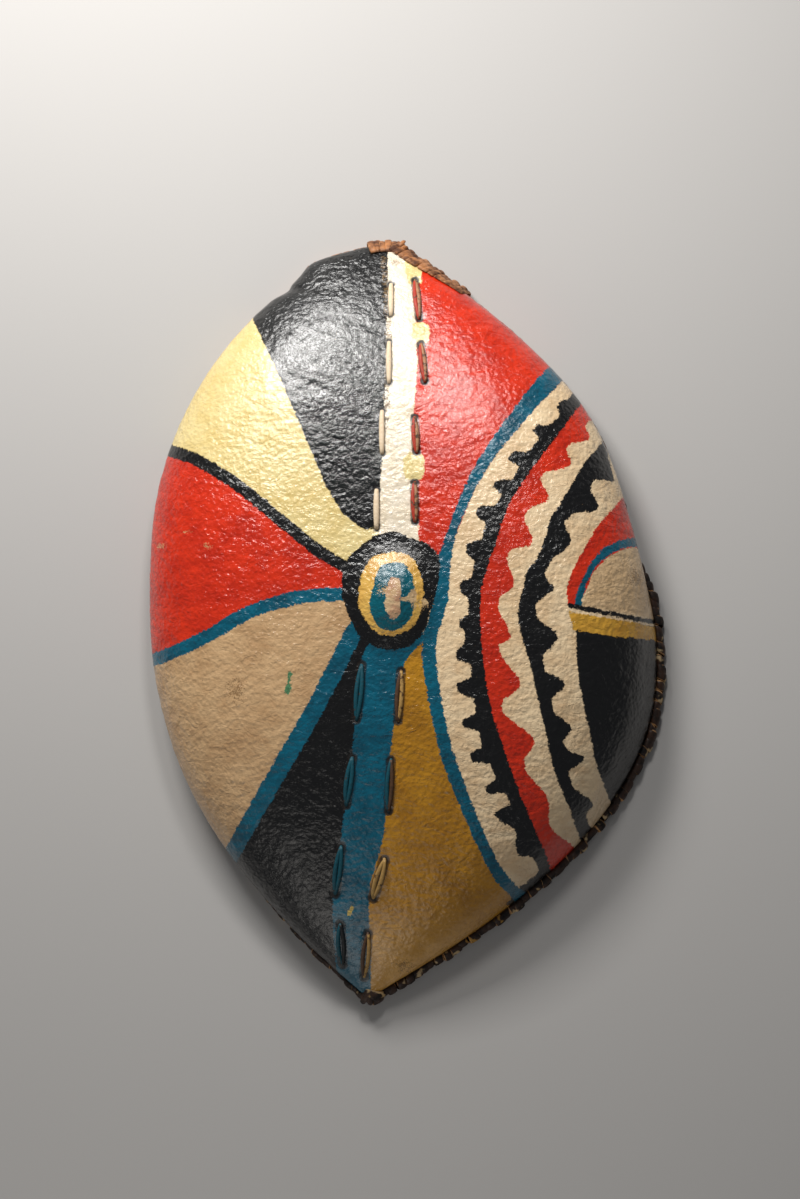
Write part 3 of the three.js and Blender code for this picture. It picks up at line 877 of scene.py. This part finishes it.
class Shader:
    """One material with a Principled shader, and short ways to add what feeds it."""

    def __init__(self, name, **fixed):
        self.material = bpy.data.materials.new(name)
        self.material.use_nodes = True
        self.tree = self.material.node_tree
        self.surface = self.tree.nodes["Principled BSDF"]
        for socket, value in fixed.items():
            self.surface.inputs[socket.replace("_", " ")].default_value = value
        self.place = self.node("ShaderNodeTexCoord", {}, output="Object")

    def node(self, kind, settings, *inputs, output=0, **named):
        """A new node of a kind: its settings first, then the values or links of its sockets."""
        node = self.tree.nodes.new(kind)
        for key, value in settings.items():
            setattr(node, key, value)
        for key, value in [*enumerate(inputs), *named.items()]:
            socket = node.inputs[key.replace("_", " ") if isinstance(key, str) else key]
            if isinstance(value, Socket):
                self.tree.links.new(value.output, socket)
            elif value is not None:
                socket.default_value = value
        return Socket(self, node.outputs[output])

    def stretched(self, x, y, z):
        return self.node("ShaderNodeVectorMath", {"operation": "MULTIPLY"}, self.place, (x, y, z))

    def noise(self, scale, detail, roughness, vector=None, distortion=0.0):
        return self.node(
            "ShaderNodeTexNoise", {}, Vector=vector or self.place, Scale=scale, Detail=detail,
            Roughness=roughness, Distortion=distortion, output="Fac",
        )

    def pebbles(self, scale):
        return self.node(
            "ShaderNodeTexVoronoi", {"feature": "SMOOTH_F1"}, Vector=self.place, Scale=scale,
            output="Distance",
        )

    def attribute(self, name):
        return self.node("ShaderNodeAttribute", {"attribute_name": name}, output="Fac")

    def mix(self, share, a, b):
        """From colour a to colour b. The node's colour sockets come after five for numbers and vectors."""
        unused = [None] * 5
        return self.node("ShaderNodeMix", {"data_type": "RGBA"}, share, *unused, a, b, output=2)

    def height(self):
        """How far up the shield a place lies."""
        return self.node("ShaderNodeSeparateXYZ", {}, self.place, output="Y")

    def step(self, value, low, high):
        """From 0 at low to 1 at high, with soft ends."""
        settings = {"interpolation_type": "SMOOTHSTEP"}
        return self.node("ShaderNodeMapRange", settings, value, low, high, 0.0, 1.0)

    def finish(self, height, distance, strength, **varied):
        """Link what varies over the surface, with a bump from height, and give the material."""
        for socket, value in varied.items():
            self.tree.links.new(value.output, self.surface.inputs[socket.replace("_", " ")])
        bump = self.node("ShaderNodeBump", {}, Strength=strength, Distance=distance, Height=height)
        self.tree.links.new(bump.output, self.surface.inputs["Normal"])
        return self.material


def colour(red, green, blue):
    """A colour given as the eye sees it, 0 to 255, in the shader's linear values."""
    found = []
    for part in (red, green, blue):
        c = part / 255
        found.append(c / 12.92 if c <= 0.04045 else ((c + 0.055) / 1.055) ** 2.4)
    return (*found, 1.0)


# Each layer's colour and its darker, older shade
PAINTS = {
    "beige": (colour(212, 176, 132), colour(178, 138, 96)),
    "pale_yellow": (colour(232, 212, 152), colour(216, 186, 110)),
    "white": (colour(242, 230, 210), colour(226, 206, 172)),
    "red": (colour(222, 52, 20), colour(172, 29, 12)),
    "ochre": (colour(192, 136, 32), colour(148, 98, 18)),
    "black": (colour(16, 16, 17), colour(7, 7, 8)),
    "far_cream": (colour(226, 194, 152), colour(192, 158, 114)),
    "far_yellow": (colour(222, 170, 62), colour(182, 128, 44)),
    "blue": (colour(0, 99, 124), colour(0, 57, 76)),
    "patch_yellow": (colour(230, 212, 154), colour(220, 194, 122)),
    "ring_black": (colour(15, 15, 16), colour(8, 8, 9)),
    "ring_yellow": (colour(230, 186, 96), colour(196, 140, 52)),
    "oval_blue": (colour(0, 96, 112), colour(0, 68, 80)),
    "link": (colour(216, 190, 146), colour(170, 130, 96)),
    "heart": (colour(232, 204, 158), colour(140, 44, 46)),
    "slit": (colour(24, 14, 10), colour(60, 34, 20)),
    "green_fleck": (colour(84, 132, 92), colour(60, 104, 72)),
    "yellow_fleck": (colour(206, 178, 84), colour(170, 138, 60)),
}


def paint_grain(shader):
    """Height of the pebbled hide under thick paint, with wrinkles that run in all directions."""
    pebbles = shader.pebbles(190.0)
    small = shader.noise(480.0, 3.0, 0.65)
    middling = shader.noise(130.0, 3.0, 0.6)
    creases = shader.noise(48.0, 3.0, 0.6, shader.stretched(1.0, 1.5, 1.0), 1.0)
    ridged = 1.0 - (creases - 0.5).absolute() * 5.0
    return pebbles * -1.1 + small * 0.35 + middling * 1.1 + ridged * 0.4


def paint_layers(shader, wander, age):
    """The paints laid over each other, with ragged edges that are cracked down to the dark hide."""
    base = shader.mix(age, colour(246, 220, 180), colour(214, 177, 132))
    edge = None
    for name, (fresh, old) in PAINTS.items():
        away = shader.attribute("paint_" + name) + wander
        mask = shader.step(away, -0.0004, 0.0006)
        base = shader.mix(mask, base, shader.mix(age, fresh, old))
        near = 1.0 - shader.step(away.absolute(), 0.0002, 0.0016)
        edge = near if edge is None else edge.largest(near)
    cracks = shader.step(shader.noise(330.0, 3.0, 0.7), 0.60, 0.72)
    base = shader.mix(cracks * edge * 0.55, base, colour(58, 34, 22))
    specks = shader.step(shader.noise(500.0, 2.0, 0.5), 0.68, 0.78)
    return shader.mix(specks * 0.6, base, colour(44, 32, 24))


def painted_floor_sheen(shader, base, mottle):
    """Painted reflection of the pale floor: the ochre is painted paler towards the lower tip."""
    low = 1.0 - shader.step(shader.height(), -0.44, -0.33)
    beside_blue = 1.0 - shader.attribute("paint_blue").clamped() * 900.0
    ochre = shader.step(shader.attribute("paint_ochre"), 0.0, 0.004) * beside_blue
    return shader.mix(low * ochre.clamped() * (0.35 + mottle * 0.5), base, colour(244, 190, 108))


def frayed_seam(shader, base, wander, mottle):
    """Bare fibres show in a broken line between the upper black and the white band."""
    fringe = shader.step(shader.attribute("paint_fringe") + wander * 1.8, -0.0006, 0.0006)
    broken = shader.step(shader.noise(300.0, 3.0, 0.65), 0.42, 0.56)
    fibres = shader.mix(mottle, colour(132, 104, 66), colour(52, 40, 28))
    return shader.mix(fringe * broken * 0.8, base, fibres)


# Worn and stained spots: how far they cover the paint, and their colour
SPOTS = {
    "worn": (0.75, colour(206, 168, 118)),
    "stained": (0.6, colour(112, 78, 38)),
}


def spotted(shader, base, ragged, fine):
    for field, (cover, shade) in SPOTS.items():
        spot = shader.step(shader.attribute(field) * 0.5 + fine * 2.2 + ragged, 0.22, 0.34)
        base = shader.mix(spot * cover, base, shade)
    return base


def make_face_material():
    shader = Shader("painted_face", Specular_IOR_Level=0.6, Coat_Weight=0.4, Coat_Roughness=0.26)
    ragged = shader.noise(150.0, 3.0, 0.62) - 0.5
    fine = shader.noise(600.0, 2.0, 0.6) - 0.5
    wander = ragged * 0.0068 + fine * 0.0034
    mottle = shader.step(shader.noise(26.0, 4.0, 0.65, distortion=0.4), 0.36, 0.68)
    streak = shader.step(shader.noise(60.0, 3.0, 0.6, shader.stretched(0.7, 2.4, 1.0), 0.3), 0.3, 0.75)
    age = mottle * 0.5 + streak * 0.3
    base = paint_layers(shader, wander, age)
    # Painted reflection: the ochre is painted paler near the lower tip, standing in for light from the pale
    # floor
    base = painted_floor_sheen(shader, base, mottle)
    base = frayed_seam(shader, base, wander, mottle)
    base = spotted(shader, base, ragged, fine)
    # Painted shade: a dark line along each stitch's edge, where the strap shades the face
    stitch_shade = 1.0 - shader.step(shader.attribute("stitch_distance") + ragged * 0.004, 0.0, 0.0015)
    base = shader.mix(stitch_shade * 0.7, base, colour(30, 19, 13))
    # Painted shade: each lacing hole is painted dark, as the shade inside an open hole
    hole = 1.0 - shader.step(shader.attribute("hole_distance") + ragged * 0.005, 0.0034, 0.0068)
    base = shader.mix(hole * 0.94, base, colour(18, 11, 8))
    rough = 0.10 + 0.22 * shader.noise(90.0, 3.0, 0.6) + 0.06 * age + hole * 0.3
    return shader.finish(
        height=paint_grain(shader), distance=0.0017, strength=0.6,
        Base_Color=base, Roughness=rough.clamped(),
    )


def make_back_material():
    shader = Shader("raw_hide", Specular_IOR_Level=0.35)
    blotch = shader.step(shader.noise(7.0, 5.0, 0.62, distortion=0.8), 0.35, 0.7)
    fibre = shader.noise(120.0, 4.0, 0.6, shader.stretched(1.0, 0.25, 1.0))
    base = shader.mix(blotch, colour(176, 134, 86), colour(118, 80, 48))
    base = shader.mix(shader.step(fibre, 0.5, 0.75) * 0.45, base, colour(84, 54, 32))
    # Painted shade: the back is darkened round each lacing hole, as the shade inside an open hole
    hole = 1.0 - shader.step(shader.attribute("hole_distance"), 0.003, 0.010)
    base = shader.mix(hole * 0.7, base, colour(40, 24, 14))
    height = fibre * 0.6 + shader.noise(35.0, 4.0, 0.6) * 0.8
    rough = 0.5 + fibre * 0.3
    return shader.finish(height=height, distance=0.0012, strength=0.6, Base_Color=base, Roughness=rough)


def make_strip_material():
    """Wound rawhide: brown at the upper tip, dark with dabs of ochre and cream low down."""
    shader = Shader("wound_rawhide", Specular_IOR_Level=0.4)
    high = shader.step(shader.height(), 0.10, 0.42)
    grime = shader.step(shader.noise(75.0, 4.0, 0.65), 0.34, 0.66)
    dark = shader.mix(grime, colour(64, 41, 28), colour(16, 11, 9))
    brown = shader.mix(grime, colour(182, 122, 76), colour(84, 50, 32))
    base = shader.mix(high, dark, brown)
    cut = shader.step(shader.attribute("strap_edge") + shader.noise(55.0, 2.0, 0.5), 1.36, 1.50)
    base = shader.mix(cut * 0.8, base, colour(214, 164, 112))
    dabs = shader.step(shader.noise(62.0, 2.0, 0.5), 0.60, 0.66) * (1.0 - high)
    kinds = shader.step(shader.noise(9.0, 1.0, 0.5), 0.44, 0.56)
    paint = shader.mix(kinds, colour(196, 148, 66), colour(214, 186, 140))
    base = shader.mix(dabs * 0.75, base, paint)
    fibre = shader.noise(260.0, 4.0, 0.6)
    rough = 0.42 + grime * 0.35
    return shader.finish(height=fibre, distance=0.0008, strength=0.6, Base_Color=base, Roughness=rough)


# Paint on the strands: colour, older colour, and how much of the strand it covers
THONG_PAINTS = {
    "white": (colour(246, 230, 204), colour(204, 172, 132), 0.70),
    "red": (colour(204, 66, 42), colour(136, 42, 30), 0.64),
    "tan": (colour(196, 146, 106), colour(120, 78, 52), 0.55),
    "blue": (colour(12, 92, 108), colour(6, 52, 64), 0.66),
    "brown": (colour(112, 80, 54), colour(48, 32, 22), 0.50),
    "ochre": (colour(206, 168, 98), colour(132, 96, 52), 0.62),
    "dark": (colour(26, 30, 32), colour(14, 16, 18), 0.70),
}


def make_thong_material(name, paint=None, old=None, cover=0.0):
    """Dry leather thong, with worn paint over it where it was painted with the face."""
    shader = Shader(name, Specular_IOR_Level=0.4)
    grain = shader.noise(300.0, 4.0, 0.62)
    base = shader.mix(grain, colour(104, 72, 48), colour(44, 32, 24))
    if paint is not None:
        wear = shader.noise(110.0, 4.0, 0.7)
        over = shader.step(wear, 1.0 - cover, 1.06 - cover)
        base = shader.mix(over, base, shader.mix(grain, paint, old))
    rough = 0.35 + grain * 0.4
    return shader.finish(height=grain, distance=0.0007, strength=0.6, Base_Color=base, Roughness=rough)


def make_wood_material():
    """Oiled wood with long grain, darker and smoother where the hand holds it."""
    shader = Shader("hand_worn_wood", Specular_IOR_Level=0.4)
    rings = shader.node(
        "ShaderNodeTexWave", {"wave_type": "BANDS", "bands_direction": "X"},
        Vector=shader.stretched(1.0, 0.06, 1.0), Scale=75.0, Distortion=5.0, Detail=3.0, Detail_Scale=1.6,
        output="Fac",
    )
    pores = shader.noise(300.0, 3.0, 0.6, shader.stretched(1.0, 0.05, 1.0))
    base = shader.mix(rings, colour(142, 96, 58), colour(92, 58, 34))
    base = shader.mix(shader.step(pores, 0.52, 0.7) * 0.5, base, colour(58, 34, 20))
    along = shader.height()
    held = shader.step(along, -0.07, -0.01) * (1.0 - shader.step(along, 0.04, 0.10))
    base = shader.mix(held * 0.45, base, colour(70, 42, 26))
    rough = 0.62 - held * 0.24 + pores * 0.1
    height = pores + rings * 0.3
    return shader.finish(height=height, distance=0.0006, strength=0.5, Base_Color=base, Roughness=rough)


# Edge strip


def edge_path(side):
    """The middle of the hide's cut edge along one side, from the lower tip to the upper."""
    v = np.linspace(-1.0, 1.0, 600)
    u = np.full(len(v), float(side["sign"]))
    face = face_points(u, v)
    back = face - face_normals(u, v) * THICKNESS
    back[0] = (TIP_X["lower"], MIDDLE_Y - HALF_LENGTH + THICKNESS * TIP_WALL, 0)
    back[-1] = (TIP_X["upper"], MIDDLE_Y + HALF_LENGTH - THICKNESS * TIP_WALL, 0)
    return (face + back)[:, :2] / 2


def changed(y, change, upwards):
    """How far a change along the edge has gone at y, from 0 to 1."""
    start, length = change
    return float(smooth((y - start if upwards else start - y) / length))


def pitch_at(y):
    return STRIP_PITCH + (STRIP_PITCH_TOP - STRIP_PITCH) * changed(y, STRIP_TOP, True)


def strip_reach(side, y):
    """How far the turns stand out of the edge: most along the lower right, where the hide bares them."""
    if side["sign"] > 0:
        bared = changed(y, STRIP_BARED, False)
        return STRIP_REACH_HIGH_RIGHT + (STRIP_REACH_LOW_RIGHT - STRIP_REACH_HIGH_RIGHT) * bared
    low = (STRIP_REACH_LOW_LEFT - STRIP_REACH) * changed(y, STRIP_LOW_LEFT, False)
    high = (STRIP_REACH_HIGH_LEFT - STRIP_REACH) * changed(y, STRIP_HIGH_LEFT, True)
    return STRIP_REACH + low + high


def wrap_inside(side, x, y):
    """How far in over the face the turns lie: only at the upper tip, and most at the tip itself."""
    if y < TOP_WRAP_Y:
        return 0.0
    if side["sign"] < 0 and not TOP_WRAP_LEFT[0] < x < TOP_WRAP_LEFT[1]:
        return 0.0
    return TOP_WRAP_INSIDE * float(0.3 + 0.7 * smooth((y - TOP_WRAP_Y) / TOP_WRAP_GROWTH))


def strip_course(side, x, y, out):
    """The section of one turn round the edge as (out, height), from the face to the back."""
    reach = strip_reach(side, y)
    outer = [TURN_START] + [(share * reach, z) for share, z in TURN_OUTSIDE]
    inside = wrap_inside(side, x, y)
    if inside > 0.0:
        over = []
        for share in (1.0, 0.5, 0.0):
            place = np.array([x, y]) - np.array(out)[:2] * inside * share
            height = float(height_at(place[0], min(place[1], TIP_Y["upper"] - 0.002)))
            lowest = TOP_WRAP_LOWEST - 0.001 * share
            over.append((-inside * share, max(height, lowest) + TOP_WRAP_LIFT * (1.0 - 0.4 * share)))
        outer = over + TOP_WRAP_OUTSIDE
    return outer + [TURN_FOOT] + TURN_INSIDE


def add_turn(bm, side, place, reached, path, rng):
    """One bowed band of the strip, laid slanting round the edge."""
    layer = bm.verts.layers.float["strap_edge"]
    x = np.interp(place, reached, path[:, 0])
    y = np.interp(place, reached, path[:, 1])
    ahead = min(place + 0.006, reached[-1])
    behind = max(place - 0.006, 0.0)
    forward = Vector((
        np.interp(ahead, reached, path[:, 0]) - np.interp(behind, reached, path[:, 0]),
        np.interp(ahead, reached, path[:, 1]) - np.interp(behind, reached, path[:, 1]), 0.0,
    )).normalized()
    out = Vector((forward.y, -forward.x, 0.0)) * side["sign"]
    course = strip_course(side, x, y, out)
    pitch = pitch_at(y)
    slant = pitch * rng.uniform(0.8, 1.5)
    width = pitch * rng.uniform(1.05, 1.40)
    swell = rng.uniform(0.74, 1.10)
    turn = rng.uniform(-0.25, 0.25)
    rise_by = rng.uniform(0.75, 1.35)
    rings = []
    last = len(course) - 1
    for i, (away, z) in enumerate(course):
        lean = slant * (0.5 - i / last)
        before = course[max(0, i - 1)]
        after = course[min(last, i + 1)]
        run = Vector((after[0] - before[0], after[1] - before[1])).normalized()
        facing = Vector((-run.y, run.x))
        grip = 0.55 if i in (0, last) else 1.0
        ring = []
        for across, rise in STRAP_SECTION:
            lift = STRIP_THICKNESS * rise * 0.5 * grip * rise_by
            along = lean + across * width * (0.75 + 0.25 * grip) + turn * away
            here = Vector((x, y, 0.0)) + forward * along
            spread = swell if away > 0.0 else 1.0
            here += out * (away * spread + facing.x * lift)
            here.z = max(0.0004, z + facing.y * lift)
            ring.append(here)
        rings.append(ring)
    for row in tube(bm, rings, False):
        for (across, _), vert in zip(STRAP_SECTION, row):
            vert[layer] = 2.0 * abs(across)


def make_strip(side, name, node, material, seed, knots):
    """The edge strip, wound turn by turn, with its tied ends."""
    rng = random.Random(seed)
    bm = bmesh.new()
    bm.verts.layers.float.new("strap_edge")
    path = edge_path(side)
    steps = np.hypot(*np.diff(path, axis=0).T)
    reached = np.concatenate([[0.0], np.cumsum(steps)])
    place = STRIP_START
    while place < reached[-1] - STRIP_STOP:
        add_turn(bm, side, place, reached, path, rng)
        place += pitch_at(np.interp(place, reached, path[:, 1])) * rng.uniform(0.75, 1.2)
    for middle, size in knots:
        add_knot(bm, Vector(middle), size, rng)
    as_piece(object_of(bm, name, [material]), "rim_rawhide", node)


def add_knot(bm, middle, size, rng):
    """A tied end of the strip: short humped lengths laid over each other."""
    for turn in KNOT_TURNS:
        flat = Vector((math.cos(turn), math.sin(turn), 0.0))
        reach = KNOT_REACH * size * rng.uniform(0.75, 1.1)
        tall = KNOT_RISE * size * rng.uniform(0.7, 1.2)
        start = middle + Vector((rng.uniform(-0.003, 0.003), rng.uniform(-0.002, 0.002), 0.0))
        rings = []
        for i in range(KNOT_STEPS + 1):
            t = 2.0 * i / KNOT_STEPS - 1.0
            hump = Vector((0.0, 0.0, tall * math.cos(t * KNOT_ARCH)))
            here = start + flat * (reach * math.sin(t * KNOT_BEND)) + hump
            along = flat * math.cos(t * KNOT_BEND) - Vector((0.0, 0.0, 0.6 * math.sin(t * KNOT_ARCH)))
            wide = along.cross(Vector((0.0, 0.0, 1.0))).normalized()
            thick = along.normalized().cross(wide)
            thin = math.sqrt(max(0.12, 1.0 - t * t * 0.8))
            ring = []
            for k in range(KNOT_SIDES):
                b = 2 * math.pi * k / KNOT_SIDES
                lump = KNOT_HALF_WIDTH * math.cos(b) * wide + KNOT_HALF_THICKNESS * math.sin(b) * thick
                ring.append(here + lump * (size * thin))
            rings.append(ring)
        tube(bm, rings, False)


# Stave and lashings


def stave_x(y):
    ys = [lashing[1] for lashing in reversed(LASHINGS)]
    xs = [lashing[0] for lashing in reversed(LASHINGS)]
    return float(np.interp(y, ys, xs))


def dome_height(x, y):
    side = side_x(LEFT, y) if x < ridge_x(y) else side_x(RIGHT, y)
    return float(dome_z(y, (x - ridge_x(y)) / (side - ridge_x(y))))


def dome_normal(x, y, with_cross):
    step = TANGENT_STEP
    along = (dome_height(x, y + step) - dome_height(x, y - step)) / (2 * step)
    across = (dome_height(x + step, y) - dome_height(x - step, y)) / (2 * step) if with_cross else 0.0
    return Vector((-across, -along, 1.0)).normalized()


def under(x, y, depth):
    return Vector((x, y, dome_height(x, y))) - dome_normal(x, y, False) * depth


def stave_drop(x, y, half_width):
    """How far the dome falls away over half the stave's width."""
    return dome_height(x, y) - min(dome_height(x - half_width, y), dome_height(x + half_width, y))


def stave_station(y):
    """The stave's middle and half width at y: under the dome, and at the grip's level behind the boss."""
    x = stave_x(y)
    past = max(0.0, abs(y - BOSS_CENTRE[1]) - GRIP_FLAT / 2) / (GRIP_REACH - GRIP_FLAT / 2)
    bow = (1.0 - min(1.0, past) ** 2) ** 2
    ends = stave_ends()
    end = ends[1] if y > BOSS_CENTRE[1] else ends[0]
    taper = ((y - BOSS_CENTRE[1]) / (end - BOSS_CENTRE[1])) ** 2
    half_width = (STAVE_WIDTH + (STAVE_END_WIDTH - STAVE_WIDTH) * taper) / 2
    depth = THICKNESS + STAVE_CLEARANCE + STAVE_THICKNESS / 2
    point = under(x, y, depth + stave_drop(x, y, half_width))
    return point.lerp(Vector((x, y, GRIP_LEVEL)), bow), half_width


def stave_up(y):
    """The way from the bearer's side of the stave to the hide's side."""
    run = stave_station(y + TANGENT_STEP)[0] - stave_station(y - TANGENT_STEP)[0]
    return Vector((0.0, -run.z, run.y)).normalized()


def stave_ends():
    first = LASHINGS[0]
    last = LASHINGS[-1]
    return last[1] - last[2] / 2 - STAVE_OVERRUN, first[1] + first[2] / 2 + STAVE_OVERRUN


def make_stave(material):
    """A hand-cut board with rounded edges that narrows to its ends and bows off the dome at the grip."""
    bm = bmesh.new()
    low, high = stave_ends()
    count = STAVE_STEPS
    places = [low + (high - low) * i / count for i in range(count + 1)]
    stations = [stave_station(y) for y in places]
    rings = []
    for i, (point, half_width) in enumerate(stations):
        up = stave_up(places[i])
        from_end = min(i, count - i)
        close = min(1.0, 0.55 + 0.45 * math.sqrt(from_end / 3)) if from_end < 3 else 1.0
        nick = 1.0 + 0.03 * noise.noise(Vector((places[i] * 30.0, 0.0, 5.0)))
        ring = []
        for k in range(STAVE_SIDES):
            a = 2 * math.pi * k / STAVE_SIDES
            wide = math.copysign(abs(math.cos(a)) ** 0.45, math.cos(a)) * half_width * close * nick
            tall = math.copysign(abs(math.sin(a)) ** 0.5, math.sin(a)) * STAVE_THICKNESS / 2 * close
            ring.append(point + Vector((1.0, 0.0, 0.0)) * wide + up * tall)
        rings.append(ring)
    tube(bm, rings, False)
    as_piece(object_of(bm, "carved_grip_stave", [material]), "grip_wood", "grip_stave")


def front_point(place, lift):
    x, y = place
    return Vector((x, y, dome_height(x, y))) + dome_normal(x, y, True) * lift


def back_point(lashing, end, sign):
    """Where a thong turns behind the stave: end is 1 at the upper one, sign is 1 on the right side."""
    x, y, length, apart = lashing
    at_y = y + end * length / 2
    depth = STAVE_THICKNESS / 2 + THONG_CLEARANCE + THONG_BACK_DEPTH
    middle = stave_station(at_y)[0] - stave_up(at_y) * depth
    return Vector((x + sign * apart / 2, middle.y, middle.z))


def stitch_strand(stitch, aside, width):
    """One strand of a stitch from its upper hole to its lower one: pinched at the holes and bowed aside."""
    upper, lower = [np.array(end) for end in stitch]
    run = (lower - upper) / np.linalg.norm(lower - upper)
    across = np.array([-run[1], run[0]])
    found = []
    for i in range(STRAND_STEPS + 1):
        t = i / STRAND_STEPS
        fullness = math.sin(math.pi * (0.06 + 0.88 * t)) ** 0.45
        place = upper + (lower - upper) * t + across * (aside * math.sin(math.pi * t) ** 0.8)
        lift = THONG_LIFT * fullness - THONG_SINK * (1.0 - fullness)
        found.append((front_point(place, lift), width * (0.45 + 0.55 * fullness)))
    return found


def strand_rings(stations, closed):
    """Rings of an oval strand through stations, each a point and the width there."""
    points = [station[0] for station in stations]
    count = len(points)
    rings = []
    for i, (here, width) in enumerate(stations):
        before = points[i - 1] if closed or i > 0 else here
        after = points[(i + 1) % count] if closed or i < count - 1 else here
        forward = (after - before).normalized()
        lying = Vector((1.0, 0.0, 0.0)) if abs(forward.x) < 0.8 else Vector((0.0, 1.0, 0.0))
        thick = forward.cross(lying).normalized()
        wide = thick.cross(forward)
        ring = []
        for k in range(STRAND_SIDES):
            a = 2 * math.pi * k / STRAND_SIDES
            across = math.copysign(abs(math.cos(a)) ** 0.8, math.cos(a)) * width / 2
            ring.append(here + wide * across + thick * (math.sin(a) * THONG_THICKNESS / 2))
        rings.append(ring)
    return rings


def make_lashing(number, lashing, stitches, kinds, raw, made):
    """A thong laced round the stave: down the left stitch, across behind, up the right one and back."""
    bm = bmesh.new()
    materials = [raw]
    stations = []
    slots = []
    for stitch, (near, far, spread, width), end in zip(stitches, kinds, (-1, 1)):
        materials.append(made[near])
        strand = stitch_strand(stitch, -spread, width)
        if end > 0:
            strand.reverse()
        stations += strand
        slots += [len(materials) - 1] * len(strand)
        if far is not None:
            materials.append(made[far])
            tube(bm, strand_rings(stitch_strand(stitch, spread, width), False), False, len(materials) - 1)
        corner_a = back_point(lashing, end, end)
        corner_b = back_point(lashing, end, -end)
        for t in np.linspace(0.0, 1.0, CROSSING_POINTS):
            stations.append((corner_a.lerp(corner_b, float(t)), THONG_BACK_WIDTH))
            slots.append(0)
    tube(bm, strand_rings(stations, True), True, lambda i: slots[i])
    as_piece(object_of(bm, f"laced_thong_{number}", materials), "thong_leather", f"lashing_thong_{number}")


def make_lashings():
    raw = make_thong_material("bare_thong")
    made = {}
    for kinds in STITCH_KINDS:
        for near, far, _, _ in kinds:
            for paint in (near, far):
                if paint is not None and paint not in made:
                    name = f"painted_thong_{len(made) + 1}"
                    made[paint] = make_thong_material(name, *THONG_PAINTS[paint])
    for i, (lashing, stitches, kinds) in enumerate(zip(LASHINGS, STITCHES, STITCH_KINDS)):
        make_lashing(i + 1, lashing, stitches, kinds, raw, made)


# Floor and light


def make_floor():
    bm = bmesh.new()
    bmesh.ops.create_grid(bm, x_segments=2, y_segments=2, size=FLOOR_HALF)
    mesh = bpy.data.meshes.new("floor")
    bm.to_mesh(mesh)
    bm.free()
    shader = Shader("pale_floor", Roughness=0.75, Specular_IOR_Level=0.2)
    shader.surface.inputs["Base Color"].default_value = colour(188, 186, 184)
    mesh.materials.append(shader.material)
    floor = bpy.data.objects.new("floor", mesh)
    bpy.context.scene.collection.objects.link(floor)


def add_softbox(name, place, aim, size, power, tint):
    data = bpy.data.lights.new(name, "AREA")
    data.shape = "RECTANGLE"
    data.size = size[0]
    data.size_y = size[1]
    data.energy = power
    data.color = tint
    light = bpy.data.objects.new(name, data)
    light.location = place
    light.rotation_euler = (Vector(aim) - Vector(place)).to_track_quat("-Z", "Y").to_euler()
    bpy.context.scene.collection.objects.link(light)


def make_lights():
    add_softbox("key", (-0.74, 1.52, 1.18), (0.0, 0.10, 0.05), (0.7, 0.45), 38.0, (1.0, 0.98, 0.95))
    add_softbox("second", (0.13, 1.34, 1.40), (0.1, 0.15, 0.05), (0.34, 0.28), 12.0, (1.0, 0.98, 0.95))
    add_softbox("low", (-0.46, -1.72, 0.92), (0.0, -0.1, 0.05), (1.2, 0.8), 4.0, (1.0, 0.96, 0.90))

    world = bpy.data.worlds.new("studio")
    world.use_nodes = True
    background = world.node_tree.nodes["Background"]
    background.inputs["Color"].default_value = (0.92, 0.95, 1.0, 1.0)
    background.inputs["Strength"].default_value = WORLD_STRENGTH
    bpy.context.scene.world = world


# The default view transform washes out the paints
bpy.context.scene.view_settings.view_transform = "Standard"
make_camera()
make_floor()
make_lights()
make_hide(make_face_material(), make_back_material())
strip = make_strip_material()
make_strip(LEFT, "wound_strip_left", "rim_binding_left", strip, 11, LEFT_KNOTS)
make_strip(RIGHT, "wound_strip_right", "rim_binding_right", strip, 23, RIGHT_KNOTS)
make_lashings()
make_stave(make_wood_material())
